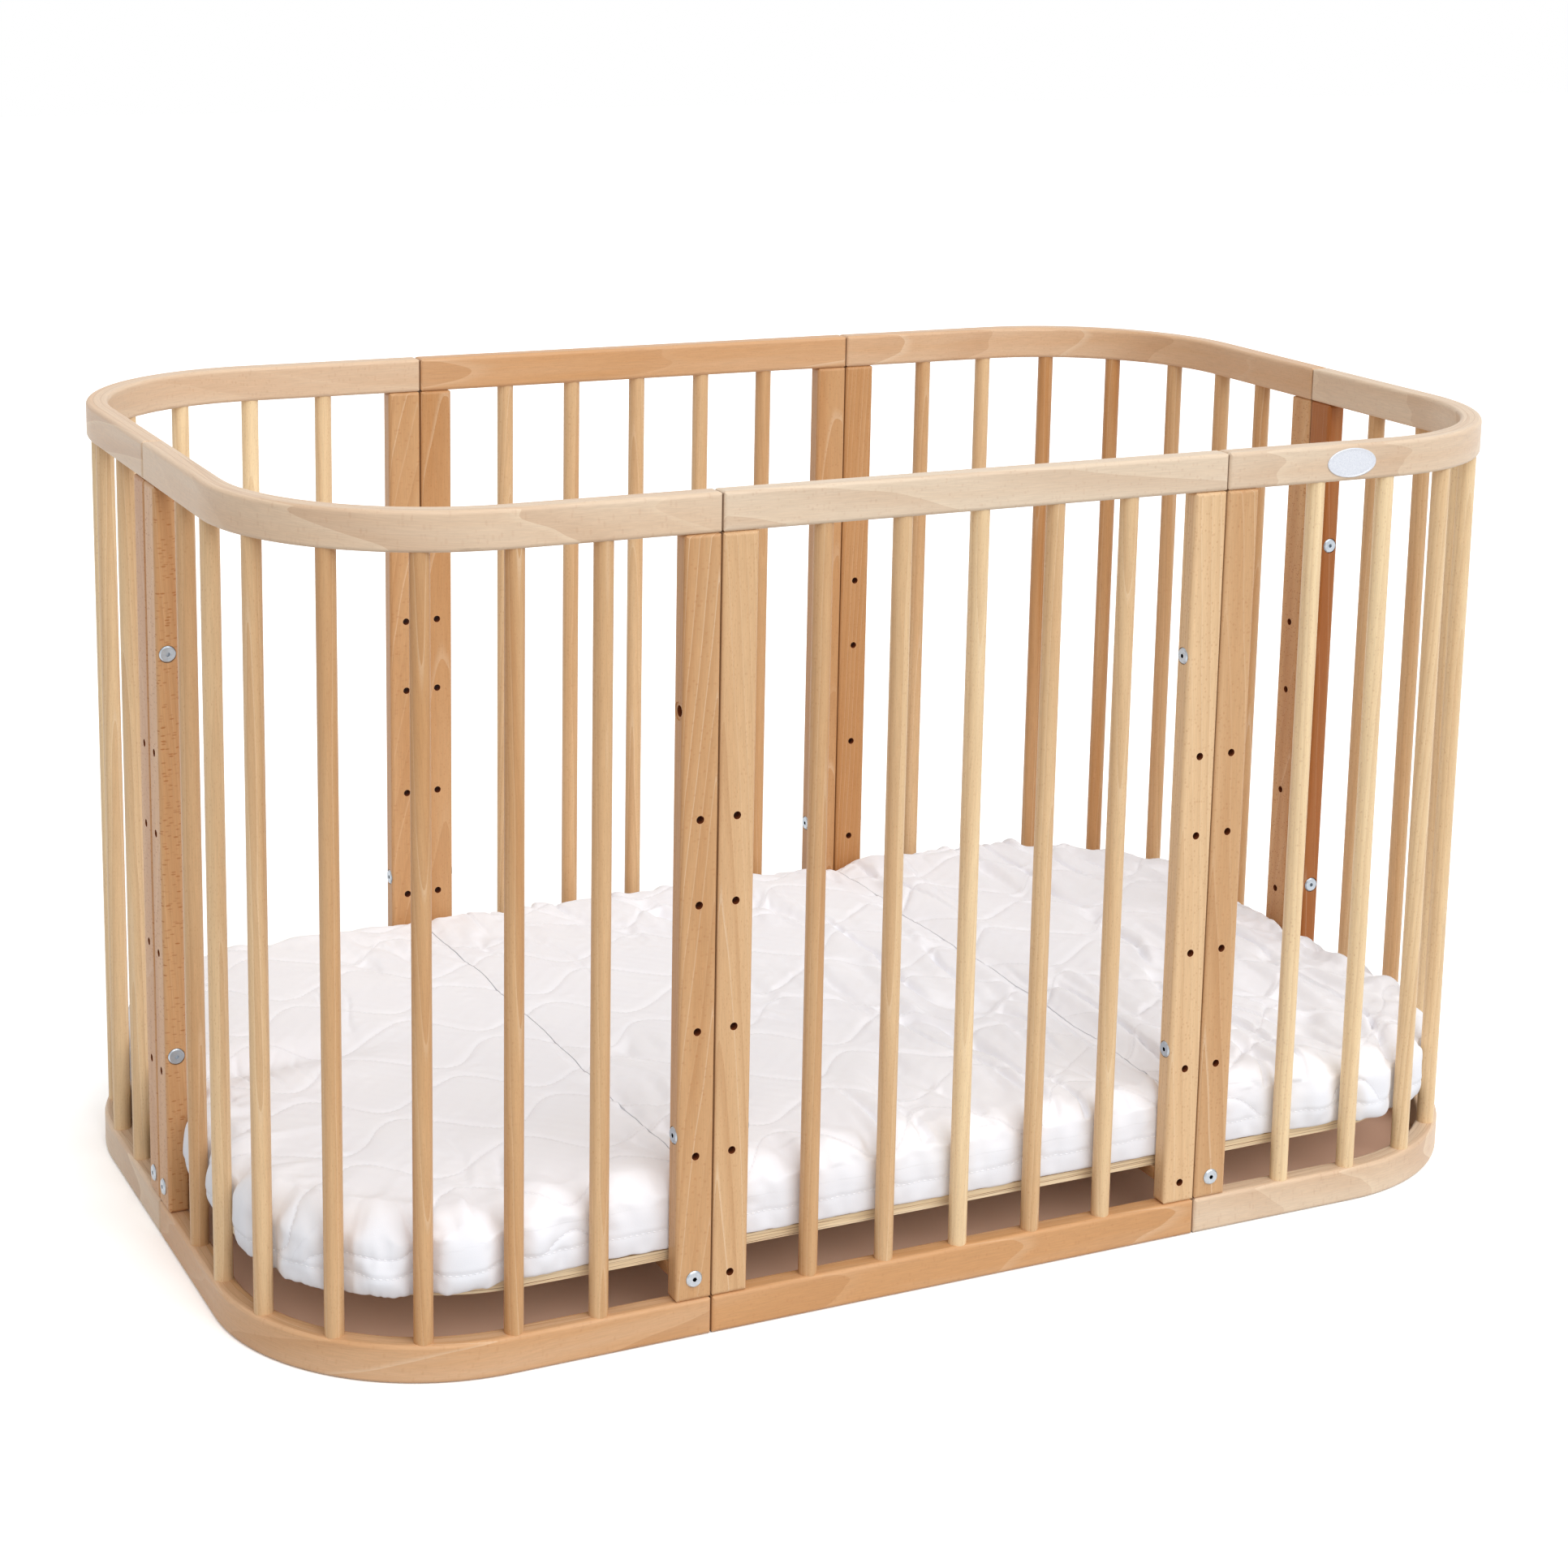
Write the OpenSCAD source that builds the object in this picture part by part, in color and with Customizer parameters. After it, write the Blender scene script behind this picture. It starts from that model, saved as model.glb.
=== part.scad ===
// Oval beech playpen cot: six bolted panels, a plywood base and a three-part mattress.
// Millimetres. X runs along the cot, Y from front to back, Z up from the floor.

/* [Cot] */
// Side of the rounded square that the four corner panels make by themselves
unit_d = 820; // [760:1:900]
// Length of each straight side panel
side_l = 530; // [480:1:640]
// Overall height
cot_h = 795; // [740:1:860]
// Outer radius of each bent corner
corner_r = 214; // [190:1:240]
// Gap between neighbouring panels
seam_gap = 0.4; // [0.2:0.1:0.8]

/* [Rails] */
// Height of a rail
rail_h = 36.5; // [34:0.5:42]
// Thickness of a rail
rail_t = 22; // [21:0.5:28]
// Rounding of the rail's edges
rail_edge_r = 4; // [1:0.5:5]

/* [Posts] */
// Width of a post along its panel
post_w = 36; // [32:1:44]
// Depth of a post
post_t = 21; // [19:0.5:21]
// Rounding of the post's edges
post_edge_r = 4; // [2:0.5:5]
// Diameter of the hidden pins that join post to rail
pin_d = 8; // [6:1:8]
// Length of a pin, half in the post and half in the rail
pin_l = 30; // [20:1:34]
// Distance between the two pins of one joint
pin_pitch = 15; // [12:1:18]

/* [Bars] */
// Diameter of the round bars
bar_d = 18; // [14:0.5:19]
// Depth to which a bar is let into each rail
bar_seat = 15; // [10:1:20]
// Number of bars in a side panel
side_bars = 5; // [4:1:5]
// Clear gap between a side panel's post and its first bar
side_end_gap = 58.8; // [50:0.1:65]
// Number of bars in a corner panel
corner_bars = 7; // [6:1:7]
// Clear gap between a corner panel's post and its first bar
corner_end_gap = 63.6; // [55:0.1:70]
// Radial clearance of bars and pins in their bores
glue_gap = 0.05; // [0.02:0.01:0.2]

/* [Base height holes] */
// Height of the lowest row of base holes
row_z = 58; // [56:0.5:66]
// Distance between the four lower rows
row_step = 120; // [100:1:124]
// Distance from the fourth row to the fifth
row_last_step = 80; // [60:1:90]
// Diameter of a base hole
row_hole_d = 7.5; // [6.5:0.1:9]

/* [Panel connectors] */
// Distance of the connectors from the floor and from the top
connector_inset = 197.5; // [194:0.5:210]
// Diameter of the connector's bore in each post
connector_bore_d = 10.5; // [10.2:0.1:12]
// Diameter of the recess for a connector's head
recess_d = 17; // [16.5:0.1:19]
// Depth of that recess
recess_depth = 1.2; // [0.5:0.1:2]
// Outer diameter of the sleeve nut
sleeve_d = 10; // [9:0.1:10]
// Length of the sleeve nut's sleeve
sleeve_l = 50; // [44:1:56]
// Length of the connector bolt's shank
connector_bolt_l = 45; // [40:1:50]

/* [Bolts] */
// Diameter of every bolt's shank
bolt_d = 6; // [5:0.5:6]
// Diameter of a flat bolt head
head_d = 16; // [13:0.5:16]
// Thickness of a flat bolt head
head_t = 2; // [1.5:0.1:3]
// Height of the head's upright rim, below its bevel
head_rim = 0.8; // [0.4:0.1:1.2]
// Size of the hexagon socket across its flats
socket_af = 4; // [3:0.5:5]
// Depth of the hexagon socket
socket_depth = 3; // [2:0.5:4]
// Length of a base bolt's shank
base_bolt_l = 55; // [50:1:60]
// Diameter of a base bolt's hole in a bearer
bearer_bore_d = 7; // [6.5:0.5:8]
// Diameter of the barrel nut in a bearer
barrel_d = 10; // [9:0.5:12]
// Length of the barrel nut
barrel_l = 13; // [11:0.5:14]

/* [Base] */
// Width of a bearer
bearer_w = 72; // [60:1:80]
// Height of a bearer above the centre of its bolts
bearer_above = 11; // [9:0.5:14]
// Height of a bearer below the centre of its bolts
bearer_below = 15; // [9:0.5:17]
// Width of the bevel on a bearer's lower edges
bevel_w = 18; // [10:1:22]
// Height of that bevel
bevel_h = 14; // [6:1:16]
// Length of the short bearer at each end
end_bearer_l = 90; // [80:1:160]
// Thickness of the plywood boards
board_t = 10; // [8:0.5:15]
// Gap between the boards and the posts
board_gap = 5; // [2:0.5:10]
// How much larger the boards' corner radius is than that of the room inside the bars
board_corner_ease = 23; // [0:1:40]
// Gap between neighbouring boards
board_seam = 1; // [0.4:0.1:2]
// Diameter of the boards' ventilation holes
vent_d = 25; // [16:1:32]
// Least distance between ventilation holes
vent_pitch = 100; // [80:5:120]
// Distance of their centres from bearers and edges
vent_margin = 40; // [30:1:50]
// Diameter of a board screw
screw_d = 4; // [3:0.5:5]
// Diameter of its countersunk head
screw_head_d = 8; // [7:0.5:9]
// Length of a board screw
screw_l = 25; // [20:1:30]
// Distance of the outer board screws from a cross bearer's ends
screw_end_gap = 155; // [100:5:200]
// Distance of the board screws from an end bearer's inner end
screw_inset = 12; // [8:1:20]

/* [Mattress] */
// Thickness of the mattress
mattress_t = 72; // [50:1:110]
// Gap between the mattress and the posts
mattress_gap = 1; // [0.8:0.1:4]
// Rounding of the mattress's long edges
mattress_edge_r = 20; // [5:1:24]
// How far the mattress's two cuts lie to the left of the panels' joints
mattress_shift = 7.5; // [0:0.5:30]
// Gap between neighbouring parts of the mattress
mattress_seam = 0.5; // [0.3:0.1:2]
// Gap between the mattress and the boards under it
mattress_rest = 0.3; // [0.1:0.1:0.5]

/* [Hidden] */
$fn = 64;
beech = [0.87, 0.70, 0.51];
pale_beech = [0.90, 0.78, 0.60];
zinc = [0.75, 0.77, 0.79];
birch = [0.84, 0.74, 0.57];
cotton = [0.96, 0.96, 0.97];

// What a cut is carried past the surface that it opens
over = 1;
running_gap = 0.05;
// Room past the end of a bolt
bolt_spare = 2;

half_l = (side_l + unit_d) / 2;
half_w = unit_d / 2;
seam_x = side_l / 2;

// A corner panel is drawn in its own square: its long side seam at x = 0, its end seam at y = 0.
leg_l = half_w - corner_r;
rail_mid = half_w - rail_t / 2;
post_out = seam_gap / 2 + post_w;
post_mid = seam_gap / 2 + post_w / 2;
post_h = cot_h - 2 * rail_h;
inner_face = rail_mid - post_t / 2;

rows = [for (i = [0:3]) row_z + i * row_step, row_z + 3 * row_step + row_last_step];
connector_zs = [connector_inset, cot_h - connector_inset];
connector_seat = post_out - recess_depth;

arc_l = (corner_r - rail_t / 2) * PI / 2;
corner_path_l = 2 * leg_l + arc_l;
bar_l = post_h + 2 * bar_seat;
bar_bore_d = bar_d + 2 * glue_gap;
pin_bore_d = pin_d + 2 * glue_gap;

// How far the posts' inner faces lie inside the panels' outline
panel_depth = half_w - inner_face;
board_z = row_z + bearer_above;
board_edge = panel_depth + board_gap;
board_corner_r = corner_r - board_edge + board_corner_ease;
barrel_inset = base_bolt_l - post_t - barrel_d;
end_bearer_x = half_l - panel_depth - end_bearer_l;
cross_screw_ys = [for (side = [-1:1]) side * (inner_face - screw_end_gap)];
mattress_z = board_z + board_t + mattress_rest;
mattress_cuts = [-seam_x - mattress_shift, seam_x - mattress_shift];

CORNERS = [["front_left", -1, -1], ["front_right", 1, -1], ["back_left", -1, 1], ["back_right", 1, 1]];
SIDES = [["front", -1], ["back", 1]];
ENDS = [["left", -1], ["right", 1]];
CORNER_PARTS = ["top_rail", "bottom_rail", "side_post", "end_post", "bars"];
SIDE_PARTS = ["top_rail", "bottom_rail", "left_post", "right_post", "bars"];

// Point on the middle line of a corner panel, at a distance from its long side seam
function corner_point(s) =
    s < leg_l ? [s, rail_mid] :
    s > leg_l + arc_l ? [rail_mid, leg_l - (s - leg_l - arc_l)] :
    [leg_l, leg_l] + (corner_r - rail_t / 2) * [sin(90 * (s - leg_l) / arc_l), cos(90 * (s - leg_l) / arc_l)];

// Evenly spread places, the first and last a given distance from the ends
function spread(count, length, first) =
    [for (i = [0:count - 1]) first + i * (length - 2 * first) / (count - 1)];

corner_bar_places = spread(corner_bars, corner_path_l, post_out + corner_end_gap + bar_d / 2);
corner_bar_points = [for (s = corner_bar_places) corner_point(s)];
side_bar_places = spread(side_bars, side_l, post_out + side_end_gap + bar_d / 2);
side_bar_points = [for (s = side_bar_places) [s - seam_x, rail_mid]];

// --- placing ---

// From a corner panel's own square to its quarter of the cot
module in_quarter(sx, sy) {
    mirror([sx < 0 ? 1 : 0, 0, 0]) mirror([0, sy < 0 ? 1 : 0, 0]) translate([seam_x, 0, 0]) children();
}

module on_side(sy) {
    mirror([0, sy < 0 ? 1 : 0, 0]) children();
}

module on_end(sx) {
    mirror([sx < 0 ? 1 : 0, 0, 0]) children();
}

// Both legs of a corner panel are alike, mirrored across its diagonal.
module both_legs() {
    children();
    mirror([1, -1, 0]) children();
}

module flipped_to_top() {
    translate([0, 0, cot_h]) mirror([0, 0, 1]) children();
}

// From a joint between two posts, with its seam at x = 0 and the posts' middle at y = 0
module at_side_seam(sx, sy) {
    in_quarter(sx, sy) translate([0, rail_mid, 0]) children();
}

module at_end_seam(sx) {
    on_end(sx) translate([half_l - rail_t / 2, 0, 0]) rotate(-90) children();
}

// --- shared shapes ---

module rounded_rect(size, r) {
    translate([r, 0]) square([size.x - 2 * r, size.y]);
    translate([0, r]) square([size.x, size.y - 2 * r]);
    for (x = [r, size.x - r], y = [r, size.y - r]) translate([x, y]) circle(r);
}

// Turns an outline drawn in X and Y so that it stands in Y and Z and runs along +X
module along_x(length) {
    rotate([90, 0, 90]) linear_extrude(length) children();
}

// Stands an outline in X and Z and runs it along +Y
module along_y(length) {
    translate([0, length, 0]) rotate([90, 0, 0]) linear_extrude(length) children();
}

// Block with all its edges rounded, as the planed and sanded wood is
module eased_block(size, r) {
    intersection() {
        linear_extrude(size.z) rounded_rect([size.x, size.y], r);
        along_y(size.y) rounded_rect([size.x, size.z], r);
        along_x(size.x) rounded_rect([size.y, size.z], r);
    }
}

// Blind holes that open upwards at height z
module bores(points, d, z, depth) {
    for (p = points) translate([p.x, p.y, z - depth]) cylinder(d = d, h = depth + over);
}

// --- rails ---

function pin_points(mid_x, mid_y) = [for (side = [-1, 1]) [mid_x + side * pin_pitch / 2, mid_y]];

// Keeps a bent rail as it is, but rounds the edges of the end at x = seam_gap / 2
module end_easing() {
    kept_from = 4 * rail_edge_r;
    translate([seam_gap / 2 + kept_from, -over, -over])
        cube([half_w, half_w + 2 * over, rail_h + 2 * over]);
    translate([seam_gap / 2, half_w - rail_t, 0]) intersection() {
        linear_extrude(rail_h) rounded_rect([2 * kept_from, rail_t], rail_edge_r);
        along_y(rail_t) rounded_rect([2 * kept_from, rail_h], rail_edge_r);
    }
}

module bent_bar() {
    both_legs() translate([seam_gap / 2, half_w - rail_t, 0])
        along_x(leg_l - seam_gap / 2) rounded_rect([rail_t, rail_h], rail_edge_r);
    translate([leg_l, leg_l, 0]) rotate_extrude(angle = 90)
        translate([corner_r - rail_t, 0]) rounded_rect([rail_t, rail_h], rail_edge_r);
}

// Laminated rail of a corner panel, lying on the floor with its bores open upwards
module corner_rail() {
    color(pale_beech) difference() {
        intersection() {
            bent_bar();
            end_easing();
            mirror([1, -1, 0]) end_easing();
        }
        bores(corner_bar_points, bar_bore_d, rail_h, bar_seat);
        both_legs() bores(pin_points(post_mid, rail_mid), pin_bore_d, rail_h, pin_l / 2);
    }
}

module side_rail() {
    color(pale_beech) difference() {
        translate([seam_gap / 2 - seam_x, half_w - rail_t, 0])
            eased_block([side_l - seam_gap, rail_t, rail_h], rail_edge_r);
        bores(side_bar_points, bar_bore_d, rail_h, bar_seat);
        for (side = [-1, 1])
            bores(pin_points(side * (seam_x - post_mid), rail_mid), pin_bore_d, rail_h, pin_l / 2);
    }
}

// --- posts and bars ---

// One post, with its seam face at x = seam_gap / 2 and its middle at y = 0
module post() {
    color(beech) difference() {
        translate([seam_gap / 2, -post_t / 2, rail_h]) eased_block([post_w, post_t, post_h], post_edge_r);
        for (z = rows) translate([post_mid, -post_t / 2 - over, z])
            rotate([-90, 0, 0]) cylinder(d = row_hole_d, h = post_t + 2 * over);
        for (z = connector_zs) translate([0, 0, z]) rotate([0, 90, 0]) {
            cylinder(d = connector_bore_d, h = post_out + over);
            translate([0, 0, connector_seat]) cylinder(d = recess_d, h = recess_depth + over);
        }
        for (p = pin_points(post_mid, 0)) {
            translate([p.x, p.y, rail_h - over]) cylinder(d = pin_bore_d, h = pin_l / 2 + over);
            translate([p.x, p.y, cot_h - rail_h - pin_l / 2]) cylinder(d = pin_bore_d, h = pin_l / 2 + over);
        }
    }
}

module bars(points) {
    color(pale_beech) for (p = points)
        translate([p.x, p.y, rail_h - bar_seat]) cylinder(d = bar_d, h = bar_l);
}

// The pins of one post, at its foot and its head
module post_pins() {
    for (p = pin_points(post_mid, 0), z = [rail_h, cot_h - rail_h])
        translate([p.x, p.y, z - pin_l / 2]) cylinder(d = pin_d, h = pin_l);
}

module frame_pins() {
    color(beech) {
        for (c = CORNERS, flip = [0, 1]) at_side_seam(c[1], c[2]) mirror([flip, 0, 0]) post_pins();
        for (e = ENDS, flip = [0, 1]) at_end_seam(e[1]) mirror([flip, 0, 0]) post_pins();
    }
}

// --- bolts and nuts ---

// Hexagon socket, cut downwards from the head's face
module socket() {
    translate([0, 0, head_t - socket_depth])
        cylinder(d = socket_af / cos(30), h = socket_depth + over, $fn = 6);
}

// Flat head with a bevelled rim, seated at z = 0 and rising to z = head_t
module flat_head() {
    bevel = head_t - head_rim;
    cylinder(d = head_d, h = head_rim);
    translate([0, 0, head_rim]) cylinder(d1 = head_d, d2 = head_d - 2 * bevel, h = bevel);
}

module bolt(length) {
    difference() {
        union() {
            flat_head();
            translate([0, 0, -length]) cylinder(d = bolt_d, h = length);
        }
        socket();
    }
}

module sleeve_nut() {
    thread_depth = connector_bolt_l + sleeve_l - 2 * connector_seat + bolt_spare;
    difference() {
        union() {
            flat_head();
            translate([0, 0, -sleeve_l]) cylinder(d = sleeve_d, h = sleeve_l);
        }
        socket();
        translate([0, 0, -sleeve_l - over]) cylinder(d = bolt_d + 2 * running_gap, h = thread_depth + over);
    }
}

// The places of the panel connectors: both heights at each joint between two panels, except that
// the front left joint is held by its lower connector alone.
module at_connectors() {
    for (c = CORNERS, z = connector_zs)
        if (!(c[0] == "front_left" && z > cot_h / 2))
            at_side_seam(c[1], c[2]) translate([0, 0, z]) children();
    for (e = ENDS, z = connector_zs) at_end_seam(e[1]) translate([0, 0, z]) children();
}

module connector_bolts() {
    color(zinc) at_connectors()
        translate([connector_seat, 0, 0]) rotate([0, 90, 0]) bolt(connector_bolt_l);
}

module connector_sleeve_nuts() {
    color(zinc) at_connectors()
        translate([-connector_seat, 0, 0]) rotate([0, -90, 0]) sleeve_nut();
}

// The places of the base bolts, on the outer face of the posts: one at each corner panel's side post,
// where the other hole of the bearer stays free, and both at each end.
module at_base_bolts() {
    for (c = CORNERS) at_side_seam(c[1], c[2]) translate([post_mid, post_t / 2, row_z]) children();
    for (e = ENDS, side = [-1, 1])
        at_end_seam(e[1]) translate([side * post_mid, post_t / 2, row_z]) children();
}

module base_bolts() {
    color(zinc) at_base_bolts() rotate([-90, 0, 0]) bolt(base_bolt_l);
}

module base_barrel_nuts() {
    color(zinc) at_base_bolts() translate([0, -post_t - barrel_inset, -barrel_l / 2]) difference() {
        cylinder(d = barrel_d, h = barrel_l);
        translate([0, -barrel_d, barrel_l / 2]) rotate([-90, 0, 0])
            cylinder(d = bolt_d + 2 * running_gap, h = 2 * barrel_d);
    }
}

// --- base ---

module bearer_profile() {
    w = bearer_w / 2;
    polygon([[-w, bearer_above], [w, bearer_above], [w, bevel_h - bearer_below],
             [w - bevel_w, -bearer_below], [bevel_w - w, -bearer_below], [-w, bevel_h - bearer_below]]);
}

// Bolt and barrel nut holes in the end of a bearer that lies against posts at y = 0 and runs to -y
module bearer_end_holes() {
    for (side = [-1, 1]) translate([side * post_mid, 0, 0]) {
        translate([0, over, 0]) rotate([90, 0, 0])
            cylinder(d = bearer_bore_d, h = base_bolt_l - post_t + bolt_spare + over);
        translate([0, -barrel_inset, -bearer_below - over])
            cylinder(d = barrel_d + 2 * running_gap, h = bearer_below + barrel_l / 2 + over);
    }
}

// Places of the board screws in the right half of the cot, at the boards' upper face
module at_board_screws() {
    for (side = [-1, 1]) {
        for (y = cross_screw_ys) translate([seam_x + side * post_mid, y, board_z + board_t]) children();
        translate([end_bearer_x + screw_inset, side * post_mid, board_z + board_t]) children();
    }
}

module screw_holes(d) {
    at_board_screws() translate([0, 0, -screw_l - over]) cylinder(d = d, h = screw_l + 2 * over);
}

module cross_bearer() {
    color(beech) difference() {
        translate([seam_x, -inner_face, row_z]) along_y(2 * inner_face) bearer_profile();
        for (flip = [0, 1]) mirror([0, flip, 0])
            translate([seam_x, inner_face, row_z]) bearer_end_holes();
        screw_holes(screw_d + 2 * running_gap);
    }
}

module end_bearer() {
    color(beech) difference() {
        at_end_seam(1) translate([0, -post_t / 2 - end_bearer_l, row_z])
            along_y(end_bearer_l) bearer_profile();
        at_end_seam(1) translate([0, -post_t / 2, row_z]) bearer_end_holes();
        screw_holes(screw_d + 2 * running_gap);
    }
}

// Outline of the whole plywood base
module base_outline() {
    size = 2 * [half_l - board_edge, half_w - board_edge];
    translate(-size / 2) rounded_rect(size, board_corner_r);
}

// Whether a point lies inside that outline by the ventilation margin
function in_board(p) =
    let (straight = [half_l, half_w] - (board_edge + board_corner_r) * [1, 1])
    norm([max(abs(p.x) - straight.x, 0), max(abs(p.y) - straight.y, 0)]) < board_corner_r - vent_margin;

// Whether a point stays clear of the end bearers by the ventilation margin
function off_end_bearer(p) = abs(p.x) < end_bearer_x - vent_margin || abs(p.y) > bearer_w / 2 + vent_margin;

// Rows and columns of ventilation holes between two x places, evenly spread about y = 0
function vent_points(from_x, to_x) =
    let (columns = 1 + floor((to_x - from_x) / vent_pitch), rows = floor(inner_face / vent_pitch))
    [for (i = [0:columns - 1], j = [-rows:rows])
        let (p = [from_x + i * (to_x - from_x) / (columns - 1), j * vent_pitch])
        if (in_board(p) && off_end_bearer(p)) p];

// Plywood between two x places, with ventilation holes between two others
module board(from_x, to_x, vents_from, vents_to) {
    color(birch) difference() {
        translate([0, 0, board_z]) linear_extrude(board_t) difference() {
            intersection() {
                base_outline();
                translate([from_x, -half_w]) square([to_x - from_x, unit_d]);
            }
            for (p = vent_points(vents_from, vents_to)) translate(p) circle(d = vent_d);
        }
        for (e = ENDS) on_end(e[1]) {
            screw_holes(screw_d + 2 * running_gap);
            at_board_screws() screw_head(over);
        }
    }
}

module middle_board() {
    edge = seam_x - board_seam / 2;
    vent_edge = seam_x - bearer_w / 2 - vent_margin;
    board(-edge, edge, -vent_edge, vent_edge);
}

module end_board() {
    vents_from = seam_x + bearer_w / 2 + vent_margin;
    board(seam_x + board_seam / 2, half_l, vents_from, half_l - board_edge - vent_margin);
}

// Cone of a countersunk head, its rim at z = 0, and the free way above it in a hole
module screw_head(rise) {
    cone_h = (screw_head_d - screw_d) / 2;
    translate([0, 0, -cone_h]) cylinder(d1 = screw_d, d2 = screw_head_d, h = cone_h);
    if (rise > 0) cylinder(d = screw_head_d, h = rise);
}

module board_screws() {
    color(zinc) for (e = ENDS) on_end(e[1]) at_board_screws() {
        screw_head(0);
        translate([0, 0, -screw_l]) cylinder(d = screw_d, h = screw_l - (screw_head_d - screw_d) / 4);
    }
}

// --- mattress ---

// The whole pad: a quarter turn of its rounded edge at each corner, and straight runs between them
module pad() {
    edge = panel_depth + mattress_gap;
    pad_l = 2 * (half_l - edge);
    pad_w = 2 * (half_w - edge);
    r = corner_r - edge;
    for (sx = [-1, 1], sy = [-1, 1])
        translate([sx * (pad_l / 2 - r), sy * (pad_w / 2 - r), 0])
            rotate(sx > 0 ? (sy > 0 ? 0 : -90) : (sy > 0 ? 90 : 180))
            rotate_extrude(angle = 90) intersection() {
                translate([-r, 0]) rounded_rect([2 * r, mattress_t], mattress_edge_r);
                square([r, mattress_t]);
            }
    translate([r - pad_l / 2, -pad_w / 2, 0])
        along_x(pad_l - 2 * r) rounded_rect([pad_w, mattress_t], mattress_edge_r);
    translate([-pad_l / 2, r - pad_w / 2, 0])
        along_y(pad_w - 2 * r) rounded_rect([pad_l, mattress_t], mattress_edge_r);
}

module mattress_part(from_x, to_x) {
    color(cotton) translate([0, 0, mattress_z]) intersection() {
        pad();
        translate([from_x, -half_w, -over]) cube([to_x - from_x, unit_d, mattress_t + 2 * over]);
    }
}

// --- the nodes ---

for (c = CORNERS) {
    panel = str(c[0], "_corner_");
    in_quarter(c[1], c[2]) flipped_to_top() corner_rail();
    in_quarter(c[1], c[2]) corner_rail();
    at_side_seam(c[1], c[2]) post();
    on_side(c[2]) at_end_seam(c[1]) mirror([1, 0, 0]) post();
    in_quarter(c[1], c[2]) bars(corner_bar_points);
}
for (s = SIDES) {
    panel = str(s[0], "_side_");
    on_side(s[1]) flipped_to_top() side_rail();
    on_side(s[1]) side_rail();
    at_side_seam(-1, s[1]) mirror([1, 0, 0]) post();
    at_side_seam(1, s[1]) mirror([1, 0, 0]) post();
    on_side(s[1]) bars(side_bar_points);
}
for (e = ENDS) {
    on_end(e[1]) cross_bearer();
    on_end(e[1]) end_bearer();
    on_end(e[1]) end_board();
}
middle_board();
frame_pins();
connector_bolts();
connector_sleeve_nuts();
base_bolts();
base_barrel_nuts();
board_screws();
mattress_part(-half_l, mattress_cuts[0] - mattress_seam / 2);  // left_mattress_part
mattress_part(mattress_cuts[0] + mattress_seam / 2, mattress_cuts[1] - mattress_seam / 2);  // middle_mattress_part
mattress_part(mattress_cuts[1] + mattress_seam / 2, half_l);  // right_mattress_part
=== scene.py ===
"""Looks of an oval beech cot with a quilted three-part mattress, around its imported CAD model."""
import math

import bmesh
import bpy
import numpy as np
from mathutils import Matrix, Vector
from mathutils.kdtree import KDTree


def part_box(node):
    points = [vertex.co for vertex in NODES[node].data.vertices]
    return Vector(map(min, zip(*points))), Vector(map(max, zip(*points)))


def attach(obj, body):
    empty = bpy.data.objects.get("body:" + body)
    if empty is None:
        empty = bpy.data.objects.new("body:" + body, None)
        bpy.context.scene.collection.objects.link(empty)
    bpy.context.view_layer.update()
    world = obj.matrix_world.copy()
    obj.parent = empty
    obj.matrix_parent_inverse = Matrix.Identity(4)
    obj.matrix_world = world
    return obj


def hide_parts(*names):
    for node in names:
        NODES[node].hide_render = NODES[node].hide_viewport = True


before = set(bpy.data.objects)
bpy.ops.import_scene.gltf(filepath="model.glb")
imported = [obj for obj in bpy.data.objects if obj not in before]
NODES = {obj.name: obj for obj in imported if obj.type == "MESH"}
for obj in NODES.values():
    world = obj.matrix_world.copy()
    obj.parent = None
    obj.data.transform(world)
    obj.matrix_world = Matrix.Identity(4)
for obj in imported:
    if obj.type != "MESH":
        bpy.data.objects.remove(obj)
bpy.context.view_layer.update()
MM = 0.001

CORNERS = {"front_left": (-1, -1), "front_right": (1, -1), "back_left": (-1, 1), "back_right": (1, 1)}
SIDES = {"front": -1, "back": 1}

# --- sizes that the frame gives ---

RAIL_LOW, RAIL_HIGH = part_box("front_side_top_rail")
RAIL_T = RAIL_HIGH.y - RAIL_LOW.y
SEAM_X = RAIL_HIGH.x
HALF_W = -RAIL_LOW.y
HALF_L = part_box("front_right_corner_top_rail")[1].x
# Outer radius of a bent corner, as its bending form has it
BEND_R = 214 * MM
BEND_X = HALF_L - BEND_R
BEND_Y = HALF_W - BEND_R
# A bent rail is glued up from three layers.
LAYER_T = RAIL_T / 3


# --- small tools ---

def tint(hex_colour):
    """An sRGB hex colour as linear RGBA."""
    parts = [int(hex_colour[i:i + 2], 16) / 255 for i in (1, 3, 5)]
    return [p / 12.92 if p <= 0.04045 else ((p + 0.055) / 1.055) ** 2.4 for p in parts] + [1]


def add(tree, kind, inputs=(), **settings):
    """Adds a node with its settings, values and links, and returns its outputs."""
    made = tree.nodes.new(kind)
    for key, value in settings.items():
        setattr(made, key, value)
    for key, value in dict(inputs).items():
        if isinstance(value, bpy.types.NodeSocket):
            tree.links.new(value, made.inputs[key])
        else:
            made.inputs[key].default_value = value
    return made.outputs


def blank_finish(name):
    material = bpy.data.materials.new(name)
    material.use_nodes = True
    material.node_tree.nodes.clear()
    return material


def wear(obj, material):
    """Gives a piece one material all over."""
    obj.data.materials.clear()
    obj.data.materials.append(material)
    obj.data.polygons.foreach_set("material_index", np.zeros(len(obj.data.polygons), np.int32))


def read_vectors(data, field):
    """One vector for each of a mesh's points or marks."""
    values = np.zeros(len(data) * 3, np.float32)
    data.foreach_get(field, values)
    return values.reshape(-1, 3).astype(float)


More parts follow.
